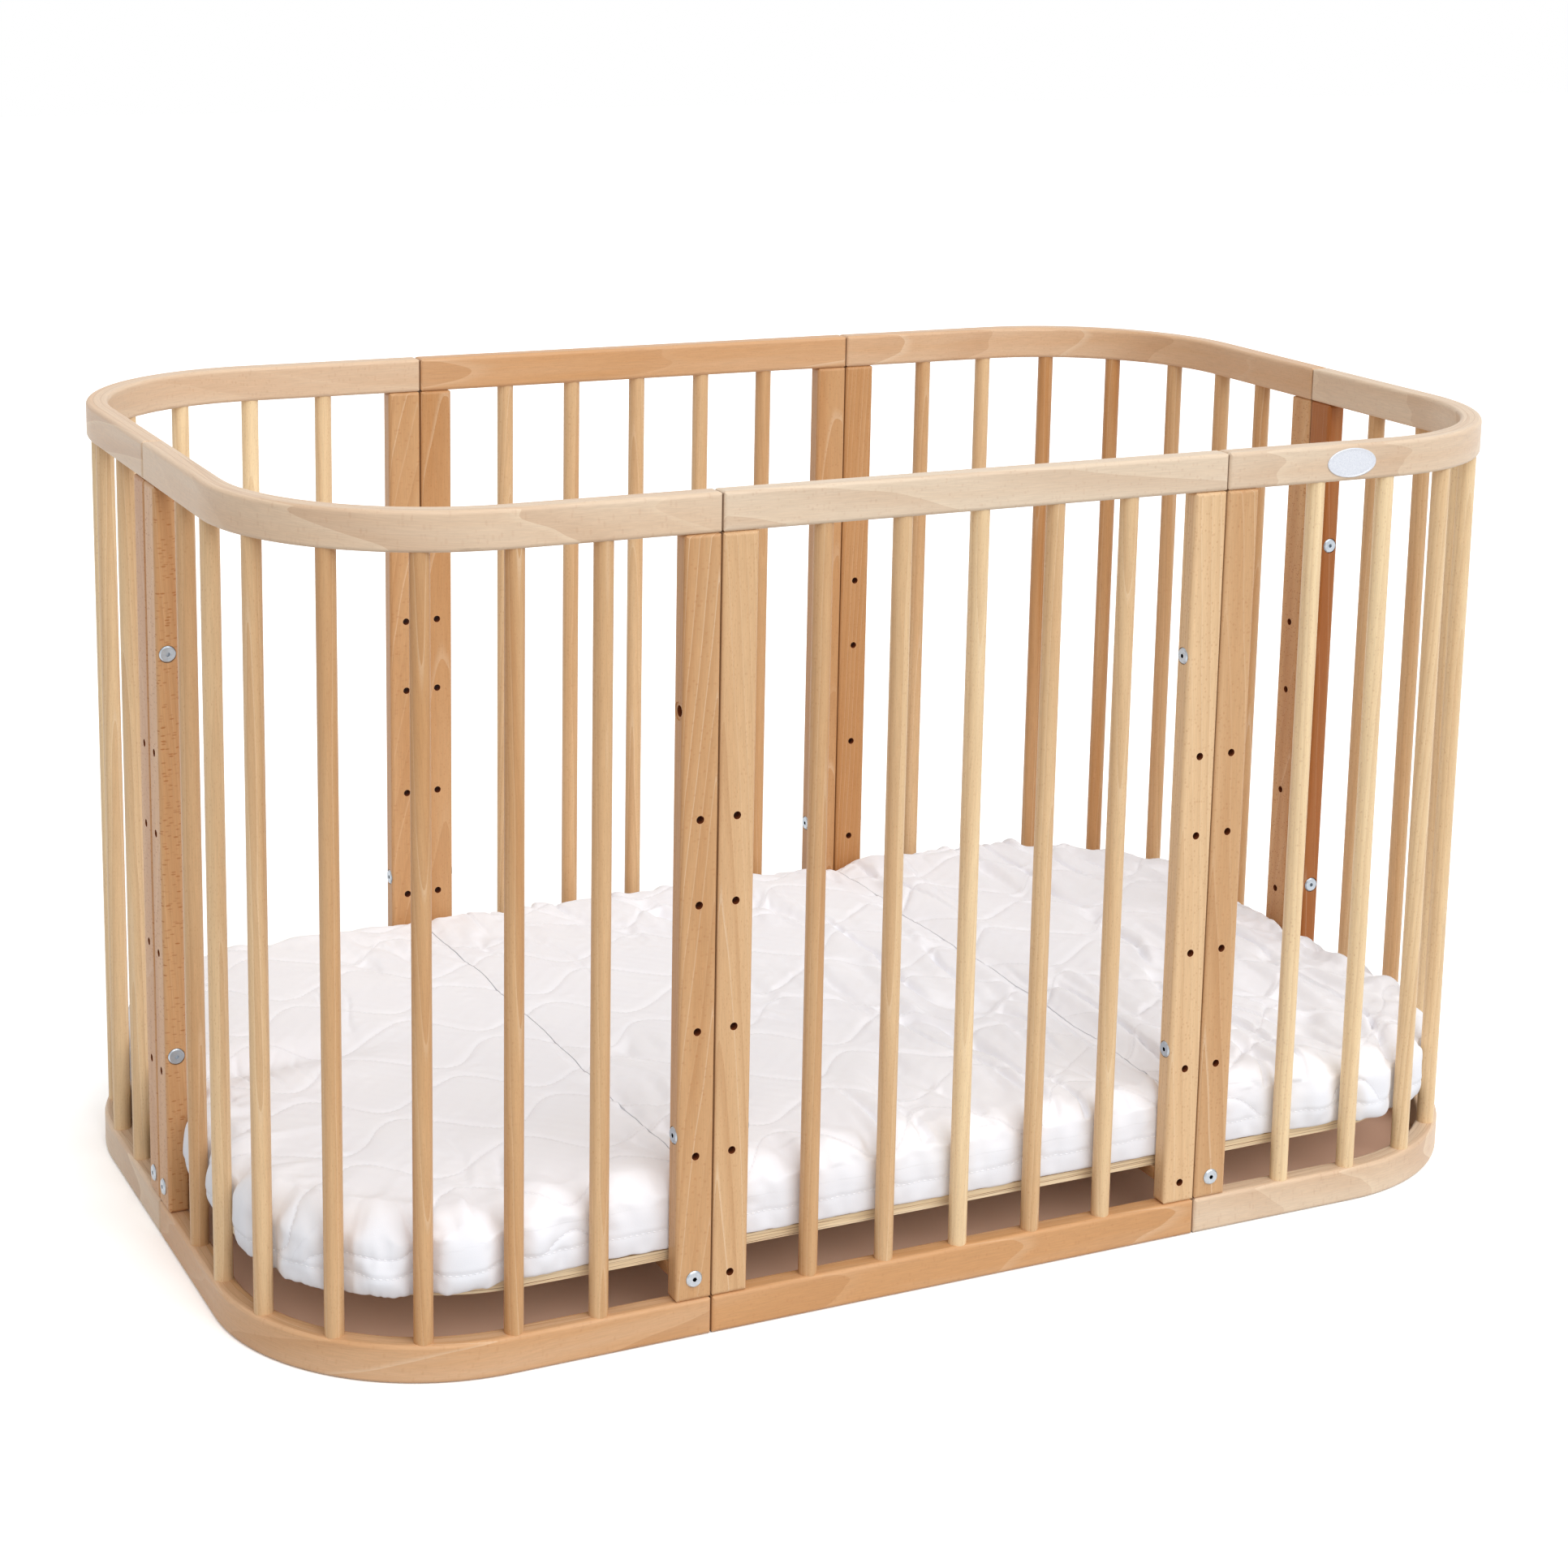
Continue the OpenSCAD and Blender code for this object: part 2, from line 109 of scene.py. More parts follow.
def points_of(obj):
    return read_vectors(obj.data.vertices, "co")


def normals_of(obj):
    return read_vectors(obj.data.vertices, "normal")


def cloth_of(obj):
    return read_vectors(obj.data.attributes["cloth"].data, "vector")


def move_points(obj, co):
    obj.data.vertices.foreach_set("co", co.astype(np.float32).ravel())
    obj.data.update()


def mark(obj, name, values):
    """Writes a number or a vector for each point of a mesh."""
    values = np.asarray(values, np.float32)
    kind, field = ("FLOAT_VECTOR", "vector") if values.ndim == 2 else ("FLOAT", "value")
    obj.data.attributes.new(name, kind, "POINT").data.foreach_set(field, values.ravel())


def new_piece(name, mesh):
    piece = bpy.data.objects.new(name, mesh)
    bpy.context.scene.collection.objects.link(piece)
    return piece


def piece_from(name, shape):
    """Makes a piece of a finished bmesh."""
    mesh = bpy.data.meshes.new(name)
    shape.to_mesh(mesh)
    shape.free()
    return new_piece(name, mesh)


# --- beech ---

# Sizes of beech's figure in millimetres: a ray fleck's length, width and depth in flat-sawn and in
# quarter-sawn wood, and a fibre bundle's length and width. Flecks and fibres are drawn twice as
# coarse as they grow, so that they show.
FLECK = (4.2, 1.2, 3.2)
FLAME = (2.6, 1.6, 8.0)
FIBRE = (26.0, 1.2)
# Broad streaks of warmer wood: how many lie in a metre along, across and through the board
STREAKS = (1.8, 38, 38)
# How many times in a metre the rings waver, measured across the board
WAVER_ACROSS = 16
# How far a ring wavers, in rings
WAVER = 1.7
# The radius in the log at which a ray is drawn in its true width
RAY_RADIUS = 60 * MM
# A glued rail's layers come from places in the log that lie this far apart.
LAYER_SHIFT = (0.83, 0.011, 0)
# Painted shade in the joints between two panels: full to this distance from the middle of the gap, and faded
# out at the second.
JOINT_SHADE_WIDTH = (0.5 * MM, 1.1 * MM)

LATE_WOOD = "#a9713f"
SPRING_WOOD = "#f6e2c6"
RAY_BROWN = "#a9642f"
GLUE_LINE = "#a87a4c"
# Walls of drilled holes: the drilled wood's darker brown, with painted shade inside the holes on top of it
DRILLED_WOOD_AND_SHADE = "#7a3a16"
# Colour of the painted shade in the joints between panels
JOINT_SHADE = "#5e3216"


def beech(name, pale, warm, year, wander, ring, figure, fleck, ray_size=FLECK):
    """Planed European beech under a satin lacquer: quiet rings, short brown ray flecks, a soft sheen.

    year is the width of its rings in millimetres, wander how often they waver in a metre, and ring,
    figure and fleck say how strongly rings, streaks and rays show. It reads its piece's marks: grain
    is the place in the log, tone how warm the piece is, layer the depth in a glued rail, and bored is
    1 on the walls of drilled holes.
    """
    material = blank_finish(name)
    tree = material.node_tree
    marks = {key: add(tree, "ShaderNodeAttribute", attribute_name=key)
             for key in ("grain", "tone", "bored", "layer")}

    # Each glued layer comes from another board.
    depth = add(tree, "ShaderNodeMath", {0: marks["layer"]["Fac"], 1: LAYER_T}, operation="DIVIDE")[0]
    layer = add(tree, "ShaderNodeMath", {0: depth}, operation="FLOOR")[0]
    shift = add(tree, "ShaderNodeCombineXYZ", {"X": layer, "Y": layer, "Z": 0.0})[0]
    shift = add(tree, "ShaderNodeVectorMath", {0: shift, 1: LAYER_SHIFT}, operation="MULTIPLY")[0]
    board = add(tree, "ShaderNodeVectorMath", {0: marks["grain"]["Vector"], 1: shift}, operation="ADD")[0]
    glue = add(tree, "ShaderNodeMath", {0: depth}, operation="FRACT")[0]
    glue = add(tree, "ShaderNodeMath", {0: glue, 1: 0.5}, operation="SUBTRACT")[0]
    glue = add(tree, "ShaderNodeMath", {0: glue}, operation="ABSOLUTE")[0]
    glue = add(tree, "ShaderNodeMapRange",
               {"Value": glue, "From Min": 0.45, "From Max": 0.49, "To Max": 0.5})[0]

    # Growth wanders a year or two off true along the board.
    waver = (wander, WAVER_ACROSS, WAVER_ACROSS)
    slow = add(tree, "ShaderNodeVectorMath", {0: board, 1: waver}, operation="MULTIPLY")[0]
    drift = add(tree, "ShaderNodeTexNoise", {"Vector": slow, "Scale": 1.0, "Detail": 2.0})["Color"]
    drift = add(tree, "ShaderNodeVectorMath", {0: drift, 1: (0.5, 0.5, 0.5)}, operation="SUBTRACT")[0]
    drift = add(tree, "ShaderNodeVectorMath", {0: drift, "Scale": WAVER * year * MM},
                operation="SCALE")[0]
    log = add(tree, "ShaderNodeVectorMath", {0: board, 1: drift}, operation="ADD")[0]
    place = add(tree, "ShaderNodeSeparateXYZ", {0: log})
    radius = add(tree, "ShaderNodeCombineXYZ", {"X": place["Y"], "Y": place["Z"]})[0]
    radius = add(tree, "ShaderNodeVectorMath", {0: radius}, operation="LENGTH")["Value"]

    # A year darkens slowly, ends, and the next one starts with a pale line.
    years = add(tree, "ShaderNodeMath", {0: radius, 1: year * MM}, operation="DIVIDE")[0]
    growth = add(tree, "ShaderNodeMath", {0: years}, operation="FLOOR")[0]
    growth = add(tree, "ShaderNodeTexWhiteNoise", {"W": growth}, noise_dimensions="1D")["Value"]
    season = add(tree, "ShaderNodeMath", {0: years}, operation="FRACT")[0]
    late = add(tree, "ShaderNodeMapRange",
               {"Value": season, "From Min": 0.3, "From Max": 0.95, "To Max": ring},
               interpolation_type="SMOOTHSTEP")[0]
    late = add(tree, "ShaderNodeMath", {0: late, 1: growth}, operation="MULTIPLY")[0]
    spring = add(tree, "ShaderNodeMapRange",
                 {"Value": season, "From Max": 0.14, "To Min": 1.3 * ring, "To Max": 0.0},
                 interpolation_type="SMOOTHSTEP")[0]
    spring = add(tree, "ShaderNodeMath", {0: spring, 1: growth}, operation="MULTIPLY")[0]

    # Broad streaks of warmer wood lie along the board.
    broad = add(tree, "ShaderNodeVectorMath", {0: log, 1: STREAKS}, operation="MULTIPLY")[0]
    streak = add(tree, "ShaderNodeTexNoise", {"Vector": broad, "Scale": 1.0, "Detail": 3.0})["Fac"]
    streak = add(tree, "ShaderNodeMapRange",
                 {"Value": streak, "From Min": 0.3, "From Max": 0.72, "To Min": -figure, "To Max": figure})[0]
    warmth = add(tree, "ShaderNodeMath", {0: streak, 1: marks["tone"]["Fac"]}, operation="ADD",
                 use_clamp=True)[0]

    # Rays are thin radial sheets: flat-sawn faces show them as dashes, quarter-sawn ones as patches.
    turn = add(tree, "ShaderNodeMath", {0: place["Y"], 1: place["Z"]}, operation="ARCTAN2")[0]
    around = add(tree, "ShaderNodeMath", {0: turn, 1: RAY_RADIUS}, operation="MULTIPLY")[0]
    sheet = add(tree, "ShaderNodeCombineXYZ", {"X": place["X"], "Y": around, "Z": radius})[0]
    cells = [1 / (size * MM) for size in ray_size]
    sheet = add(tree, "ShaderNodeVectorMath", {0: sheet, 1: cells}, operation="MULTIPLY")[0]
    ray = add(tree, "ShaderNodeTexVoronoi", {"Vector": sheet, "Scale": 1.0})
    dash = add(tree, "ShaderNodeMapRange",
               {"Value": ray["Distance"], "From Min": 0.38, "From Max": 0.2, "To Max": fleck},
               interpolation_type="SMOOTHSTEP")[0]
    some = add(tree, "ShaderNodeSeparateColor", {0: ray["Color"]})["Red"]
    dash = add(tree, "ShaderNodeMath", {0: dash, 1: some}, operation="MULTIPLY")[0]
    fibres = (1 / (FIBRE[0] * MM), 1 / (FIBRE[1] * MM), 1 / (FIBRE[1] * MM))
    fine = add(tree, "ShaderNodeVectorMath", {0: log, 1: fibres}, operation="MULTIPLY")[0]
    fibre = add(tree, "ShaderNodeTexNoise",
                {"Vector": fine, "Scale": 1.0, "Detail": 3.0, "Roughness": 0.65})["Fac"]
    shade = add(tree, "ShaderNodeMapRange",
                {"Value": fibre, "From Min": 0.3, "From Max": 0.7, "To Min": 0.92, "To Max": 1.05})[0]

    colour = add(tree, "ShaderNodeMix", {0: warmth, 6: tint(pale), 7: tint(warm)}, data_type="RGBA")[2]
    # The drilled walls' dark brown is partly the drilled wood's own colour and partly painted shade inside
    # the holes.
    for share, end in ((late, LATE_WOOD), (spring, SPRING_WOOD), (dash, RAY_BROWN), (glue, GLUE_LINE),
                       (marks["bored"]["Fac"], DRILLED_WOOD_AND_SHADE)):
        colour = add(tree, "ShaderNodeMix", {0: share, 6: colour, 7: tint(end)}, data_type="RGBA")[2]
    colour = add(tree, "ShaderNodeVectorMath", {0: colour, "Scale": shade}, operation="SCALE")[0]
    # Painted shade: the joints between two panels are darkened, since light hardly reaches into them.
    place = add(tree, "ShaderNodeTexCoord")["Object"]
    place = add(tree, "ShaderNodeVectorMath", {0: place}, operation="ABSOLUTE")[0]
    place = add(tree, "ShaderNodeSeparateXYZ", {0: place})
    gap_shade = add(tree, "ShaderNodeMath", {0: place["X"], 1: SEAM_X}, operation="SUBTRACT")[0]
    gap_shade = add(tree, "ShaderNodeMath", {0: gap_shade}, operation="ABSOLUTE")[0]
    gap_shade = add(tree, "ShaderNodeMath", {0: gap_shade, 1: place["Y"]}, operation="MINIMUM")[0]
    gap_shade = add(tree, "ShaderNodeMapRange",
                {"Value": gap_shade, "From Min": JOINT_SHADE_WIDTH[0], "From Max": JOINT_SHADE_WIDTH[1], "To Min": 0.6,
                 "To Max": 0.0})[0]
    colour = add(tree, "ShaderNodeMix", {0: gap_shade, 6: colour, 7: tint(JOINT_SHADE)}, data_type="RGBA")[2]
    rough = add(tree, "ShaderNodeMapRange", {"Value": fibre, "To Min": 0.36, "To Max": 0.52})[0]
    rough = add(tree, "ShaderNodeMath", {0: rough, 1: marks["bored"]["Fac"]}, operation="MAXIMUM")[0]
    relief = add(tree, "ShaderNodeMath", {0: dash, 1: -0.4, 2: fibre}, operation="MULTIPLY_ADD")[0]
    normal = add(tree, "ShaderNodeBump", {"Height": relief, "Distance": 0.06 * MM, "Strength": 0.8})[0]
    skin = add(tree, "ShaderNodeBsdfPrincipled",
               {"Base Color": colour, "Roughness": rough, "Normal": normal, "Coat Weight": 0.06,
                "Coat Roughness": 0.3, "Specular IOR Level": 0.28})[0]
    add(tree, "ShaderNodeOutputMaterial", {"Surface": skin})
    return material


# Rails are pale and quiet, posts warmer, end posts flecked with rays, bars striped and bearers plain.
PALE_BEECH = beech("pale_lacquered_beech", "#e6d1b8", "#d29f6e", year=8.5, wander=2.0, ring=0.26,
                   figure=0.16, fleck=0.12)
BEECH = beech("lacquered_beech", "#eac69a", "#bb824c", year=3.6, wander=2.5, ring=0.3, figure=0.12,
              fleck=0.24)
FLAMED_BEECH = beech("quarter_sawn_beech", "#eabf8c", "#a8642e", year=5.0, wander=3.0, ring=0.15,
                     figure=0.2, fleck=0.75, ray_size=FLAME)
BAR_BEECH = beech("turned_beech", "#fbe0b4", "#ba7e44", year=5.5, wander=3.0, ring=0.24, figure=0.16,
                  fleck=0.2)
BEARER_BEECH = beech("planed_beech", "#cfa478", "#a97748", year=4.5, wander=5.0, ring=0.3, figure=0.3,
                     fleck=0.4)

# Ranges from which each board's place in its log is drawn: the pith's distance across and through it,
# in millimetres, and how much the log leans either way, which gives arched figure.
BENT_LOG = ((-30, 30), (55, 90), (-0.02, 0.02), (0.04, 0.08))
RAIL_LOG = ((-30, 30), (50, 80), (-0.02, 0.02), (0.02, 0.05))
POST_LOG = ((-22, 22), (22, 45), (-0.02, 0.02), (0.01, 0.06))
BAR_LOG = ((-40, 40), (30, 70), (-0.04, 0.04))
# The metres of the log between which a board starts
LOG_RUN = (1, 9)
# Tones of the wood that isn't listed below: other rails, and bearers and pins
RAIL_TONE = 0.3
HIDDEN_TONE = 0.5
# How warm each rail's wood is, from pale to tan
RAIL_TONES = {"front_left_top": 0.25, "front_top": 0.0, "front_right_top": 0.15, "back_left_top": 0.35,
              "back_top": 0.9, "back_right_top": 0.65, "front_left_bottom": 0.8, "front_bottom": 1.0,
              "front_right_bottom": 0.25}
# How warm each post's wood is; the end posts are quarter-sawn.
POST_TONES = {"front_left_corner_side": 0.62, "front_side_left": 0.36, "front_side_right": 0.05,
              "front_right_corner_side": 0.5, "back_left_corner_side": 0.65, "back_side_left": 0.75,
              "back_side_right": 0.75, "back_right_corner_side": 0.85, "front_left_corner_end": 0.5,
              "back_left_corner_end": 0.55, "front_right_corner_end": 1.0, "back_right_corner_end": 0.5}
# How warm the wood of each bar is, from the panel's left end to its right end
BAR_TONES = {"front_left_corner": (0.62, 0.38, 0.44, 0.66, 0.74, 0.7, 0.62),
             "front_side": (0.48, 0.36, 0.14, 0.66, 0.38),
             "front_right_corner": (0.08, 0.1, 0.26, 0.16, 0.16, 0.59, 0.59),
             "back_left_corner": (0.34, 0.34, 0.22, 0.24, 0.08, 0.06, 0.22),
             "back_side": (0.5, 0.78, 0.5, 0.42, 0.56),
             "back_right_corner": (0.56, 0.48, 0.88, 0.82, 0.67, 0.66, 0.73)}
BAR_D = 18 * MM
# The posts' edges are eased with this radius, and faces that lie this deep inside are walls of holes.
POST_EDGE_R = 4 * MM
WALL_DEPTH = 1.6 * MM


def lay_grain(obj, along, across, through, pith, slant, tone, layer=None, bored=None):
    """Marks where each point of a piece lay in its log.

    along, across and through are the point's own distances in the board, pith is the board's place
    beside the log's middle line, and slant how that line leans.
    """
    reach = np.stack([along, across + pith[0] + slant[0] * along, through + pith[1] + slant[1] * along], 1)
    mark(obj, "grain", reach)
    mark(obj, "tone", np.broadcast_to(tone, along.shape))
    mark(obj, "layer", np.full(len(along), LAYER_T / 2) if layer is None else layer)
    mark(obj, "bored", np.zeros(len(along)) if bored is None else bored)


def saw(obj, chance, log, along, across, through, tone, quarter_sawn=False, **marks):
    """Lays a board at a drawn place in its log; a quarter-sawn one is turned by a right angle there."""
    pith = [chance.uniform(*span) * MM for span in log[:2]]
    if quarter_sawn:
        pith.reverse()
    start = chance.uniform(*LOG_RUN)
    slant = [chance.uniform(*span) for span in log[2:]]
    lay_grain(obj, along + start, across, through, pith, slant, tone, **marks)


def hole_walls(obj, edge_r):
    """1 for the points of faces that lie inside a piece's eased outline, as the walls of holes do."""
    co = points_of(obj)
    low, high = co.min(0), co.max(0)
    middle, half = (low + high) / 2, (high - low) / 2
    inside = np.zeros(len(co))
    for face in obj.data.polygons:
        ring = co[list(face.vertices)]
        q = np.abs(ring.mean(0) - middle) - (half - edge_r)
        depth = edge_r - np.linalg.norm(np.maximum(q, 0)) - min(q.max(), 0)
        if depth > WALL_DEPTH:
            inside[list(face.vertices)] = 1
    return inside


def bend_places(co, sx, sy):
    """Distances along and through a bent rail's middle line, from its long side seam."""
    x, y = co[:, 0] * sx - SEAM_X, co[:, 1] * sy
    leg = BEND_X - SEAM_X
    mid_r = BEND_R - RAIL_T / 2
    turn = np.arctan2(np.maximum(x - leg, 0), np.maximum(y - BEND_Y, 1e-9))
    on_bend = (x > leg) & (y > BEND_Y)
    on_end = (x > leg) & (y <= BEND_Y)
    along = np.where(on_end, leg + mid_r * math.pi / 2 + BEND_Y - y, np.where(on_bend, leg + mid_r * turn, x))
    out = np.where(on_end, x + SEAM_X - HALF_L, y - HALF_W)
    bend_out = np.hypot(x - leg, y - BEND_Y) - BEND_R
    through = np.where(on_bend, bend_out, out) + RAIL_T
    # The faces stay clear of the glue lines' places.
    return along, np.clip(through, 0.1 * LAYER_T, 2.9 * LAYER_T)


def dress_rails(chance):
    for panel in (*CORNERS, *SIDES):
        bent = panel in CORNERS
        for level in ("top", "bottom"):
            rail = NODES[f"{panel}_{'corner' if bent else 'side'}_{level}_rail"]
            tone = RAIL_TONES.get(f"{panel}_{level}", RAIL_TONE)
            co = points_of(rail)
            rise, deep = (co - co.mean(0)).T[[2, 1]]
            if bent:
                along, through = bend_places(co, *CORNERS[panel])
                saw(rail, chance, BENT_LOG, along, rise, through, tone, layer=through)
            else:
                saw(rail, chance, RAIL_LOG, co[:, 0], rise, deep, tone)
            wear(rail, PALE_BEECH)


def dress_posts(chance):
    for name, tone in POST_TONES.items():
        post = NODES[f"{name}_post"]
        at_end = name.endswith("_end")
        co = points_of(post)
        flat, deep = (co - co.mean(0)).T[[1, 0] if at_end else [0, 1]]
        saw(post, chance, POST_LOG, co[:, 2], flat, deep, tone, quarter_sawn=at_end,
            bored=hole_walls(post, POST_EDGE_R))
        wear(post, FLAMED_BEECH if at_end else BEECH)


def bar_middles(co):
    """The middle line of each bar in a panel, and which bar each point belongs to."""
    owner = np.full(len(co), -1)
    middles = []
    for i in range(len(co)):
        if owner[i] < 0:
            near = (np.linalg.norm(co[:, :2] - co[i, :2], axis=1) < 1.1 * BAR_D) & (owner < 0)
            owner[near] = len(middles)
            middles.append((co[near, :2].min(0) + co[near, :2].max(0)) / 2)
    return np.array(middles), owner


def dress_bars(chance):
    """Gives every bar its own wood, and returns where all the bars stand."""
    places = []
    for name, tones in BAR_TONES.items():
        panel = NODES[f"{name}_bars"]
        co = points_of(panel)
        middles, owner = bar_middles(co)
        count = len(middles)
        # From left to right, and round the bend
        rank = np.argsort(np.argsort(middles[:, 0] - np.sign(middles[:, 0]) * np.abs(middles[:, 1])))
        across, through, lean = BAR_LOG
        start = chance.uniform(*LOG_RUN, count)
        pith = np.array([chance.uniform(*across, count), chance.uniform(*through, count)]) * MM
        slant = chance.uniform(*lean, (count, 2))
        own = co[:, :2] - middles[owner] + slant[owner] * co[:, 2:]
        lay_grain(panel, co[:, 2] + start[owner], own[:, 0], own[:, 1], pith[:, owner], (0, 0),
                  np.array(tones)[rank][owner])
        wear(panel, BAR_BEECH)
        places.extend(middles)
    return np.array(places)


def dress_bearers(chance):
    for end in ("left", "right"):
        for kind in ("cross", "end"):
            bearer = NODES[f"{end}_{kind}_bearer"]
            co = points_of(bearer)
            run, flat = (co[:, 1], co[:, 0]) if kind == "cross" else (co[:, 0], co[:, 1])
            lay_grain(bearer, run + chance.uniform(*LOG_RUN), flat - flat.mean(), co[:, 2], (0.01, 0.05),
                      (0.02, 0.03), HIDDEN_TONE)
            wear(bearer, BEARER_BEECH)
    pins = NODES["frame_pins"]
    co = points_of(pins)
    lay_grain(pins, co[:, 2], co[:, 0], co[:, 1], (0, 0.05), (0, 0.02), HIDDEN_TONE)
    wear(pins, BEARER_BEECH)


WOOD_CHANCE = np.random.default_rng(7)
dress_rails(WOOD_CHANCE)
dress_posts(WOOD_CHANCE)
BARS = dress_bars(WOOD_CHANCE)
dress_bearers(WOOD_CHANCE)


# --- birch plywood, zinc-plated steel ---

# Ten millimetres of plywood have seven veneers.
PLY_T = 10 * MM / 7
BOARD_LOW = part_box("middle_board")[0].z
# How many fit in a metre along, across and up the boards: stretches of open glue, clouds in the
# veneer, and pores. The stretches' third number sets the plies apart.
GLUE_STRETCHES = (6, 6, 3.7)
BIRCH_CLOUDS = (3, 30, 300)
BIRCH_PORES = (60, 900, 900)
SAWN_BIRCH = ("#f6e4c4", "#e2c69a")
ROLLED_BIRCH = ("#dcbb8c", "#c79f6c")
GLUE_BROWN = "#7c4a28"


def birch_plywood():
    """Seven rotary-cut birch veneers under clear lacquer: tan faces, and bands along the sawn edges."""
    material = blank_finish("birch_plywood")
    tree = material.node_tree
    place = add(tree, "ShaderNodeTexCoord")["Object"]
    split = add(tree, "ShaderNodeSeparateXYZ", {0: place})
    height = add(tree, "ShaderNodeMath", {0: split["Z"], 1: BOARD_LOW}, operation="SUBTRACT")[0]
    plies = add(tree, "ShaderNodeMath", {0: height, 1: PLY_T}, operation="DIVIDE")[0]
    # Glue darkens the places between the veneers, more on some stretches than on others.
    glue = add(tree, "ShaderNodeMath", {0: plies, 1: 0.5}, operation="PINGPONG")[0]
    glue = add(tree, "ShaderNodeMapRange",
               {"Value": glue, "From Min": 0.12, "From Max": 0.3, "To Min": 1.0, "To Max": 0.0},
               interpolation_type="SMOOTHSTEP")[0]
    ply = add(tree, "ShaderNodeMath", {0: plies, 1: 0.25}, operation="ADD")[0]
    ply = add(tree, "ShaderNodeMath", {0: ply}, operation="FLOOR")[0]
    stretch = add(tree, "ShaderNodeCombineXYZ", {"X": split["X"], "Y": split["Y"], "Z": ply})[0]
    stretch = add(tree, "ShaderNodeVectorMath", {0: stretch, 1: GLUE_STRETCHES},
                  operation="MULTIPLY")[0]
    stretch = add(tree, "ShaderNodeTexNoise", {"Vector": stretch, "Scale": 1.0, "Detail": 3.0})["Fac"]
    stretch = add(tree, "ShaderNodeMapRange", {"Value": stretch, "From Min": 0.48, "From Max": 0.66})[0]
    wide = add(tree, "ShaderNodeVectorMath", {0: place, 1: BIRCH_CLOUDS}, operation="MULTIPLY")[0]
    cloud = add(tree, "ShaderNodeTexNoise",
                {"Vector": wide, "Scale": 1.0, "Detail": 4.0, "Distortion": 0.6})["Fac"]
    fine = add(tree, "ShaderNodeVectorMath", {0: place, 1: BIRCH_PORES}, operation="MULTIPLY")[0]
    pore = add(tree, "ShaderNodeTexNoise", {"Vector": fine, "Scale": 1.0, "Detail": 3.0})["Fac"]
    # Sawn edges are paler than the rolled faces.
    facing = add(tree, "ShaderNodeNewGeometry")["Normal"]
    facing = add(tree, "ShaderNodeVectorMath", {0: facing}, operation="ABSOLUTE")[0]
    facing = add(tree, "ShaderNodeSeparateXYZ", {0: facing})["Z"]
    flat = add(tree, "ShaderNodeMapRange", {"Value": facing, "From Min": 0.3, "From Max": 0.7})[0]
    edge, face = [add(tree, "ShaderNodeMix", {0: cloud, 6: tint(pale), 7: tint(tan)}, data_type="RGBA")[2]
                  for pale, tan in (SAWN_BIRCH, ROLLED_BIRCH)]
    colour = add(tree, "ShaderNodeMix", {0: flat, 6: edge, 7: face}, data_type="RGBA")[2]
    # Glue shows on sawn edges alone.
    band = add(tree, "ShaderNodeMath", {0: glue, 1: stretch}, operation="MULTIPLY")[0]
    sawn = add(tree, "ShaderNodeMath", {0: 1.0, 1: flat}, operation="SUBTRACT")[0]
    band = add(tree, "ShaderNodeMath", {0: band, 1: sawn}, operation="MULTIPLY")[0]
    colour = add(tree, "ShaderNodeMix", {0: band, 6: colour, 7: tint(GLUE_BROWN)}, data_type="RGBA")[2]
    shade = add(tree, "ShaderNodeMapRange", {"Value": pore, "To Min": 0.86, "To Max": 1.12})[0]
    colour = add(tree, "ShaderNodeVectorMath", {0: colour, "Scale": shade}, operation="SCALE")[0]
    normal = add(tree, "ShaderNodeBump", {"Height": pore, "Distance": 0.08 * MM, "Strength": 0.7})[0]
    skin = add(tree, "ShaderNodeBsdfPrincipled",
               {"Base Color": colour, "Roughness": 0.5, "Normal": normal})[0]
    add(tree, "ShaderNodeOutputMaterial", {"Surface": skin})
    return material


def solids_of(co, faces):
    """Which of a node's separate solids each point belongs to."""
    _, same = np.unique(np.round(co / (0.01 * MM)).astype(int), axis=0, return_inverse=True)
    same = same.ravel()
    solid, corners = np.arange(same.max() + 1), same[faces]
    while True:
        joined = solid.copy()
        for corner in corners.T:
            np.minimum.at(joined, corner, solid[corners].min(1))
        joined = joined[joined]
        if (joined == solid).all():
            return solid[same]
        solid = joined


# Radius of the hexagon sockets across their corners, with a little to spare
SOCKET_R = 2.6 * MM
ZINC_TONES = ("#bfc6cd", "#9ea7b0")
# Painted shade: the insides of the hexagon sockets are drawn nearly black
SOCKET_PAINTED_SHADE = "#20242b"
# Clouds and scratches in a metre of zinc
ZINC_CLOUDS = 260
ZINC_GRIT = 2600


def mark_sockets(obj, axis):
    """Marks the faces inside the sockets of a group of bolts that lie along an axis."""
    co = points_of(obj)
    faces = np.array([face.vertices[:] for face in obj.data.polygons])
    solid = solids_of(co, faces)
    flat = np.delete(co, axis, 1)
    away = np.zeros(len(co))
    for number in np.unique(solid):
        own = solid == number
        away[own] = np.linalg.norm(flat[own] - (flat[own].min(0) + flat[own].max(0)) / 2, axis=1)
    inside = np.zeros(len(co))
    inside[faces[(away[faces] < SOCKET_R).all(1)].ravel()] = 1
    mark(obj, "socket", inside)


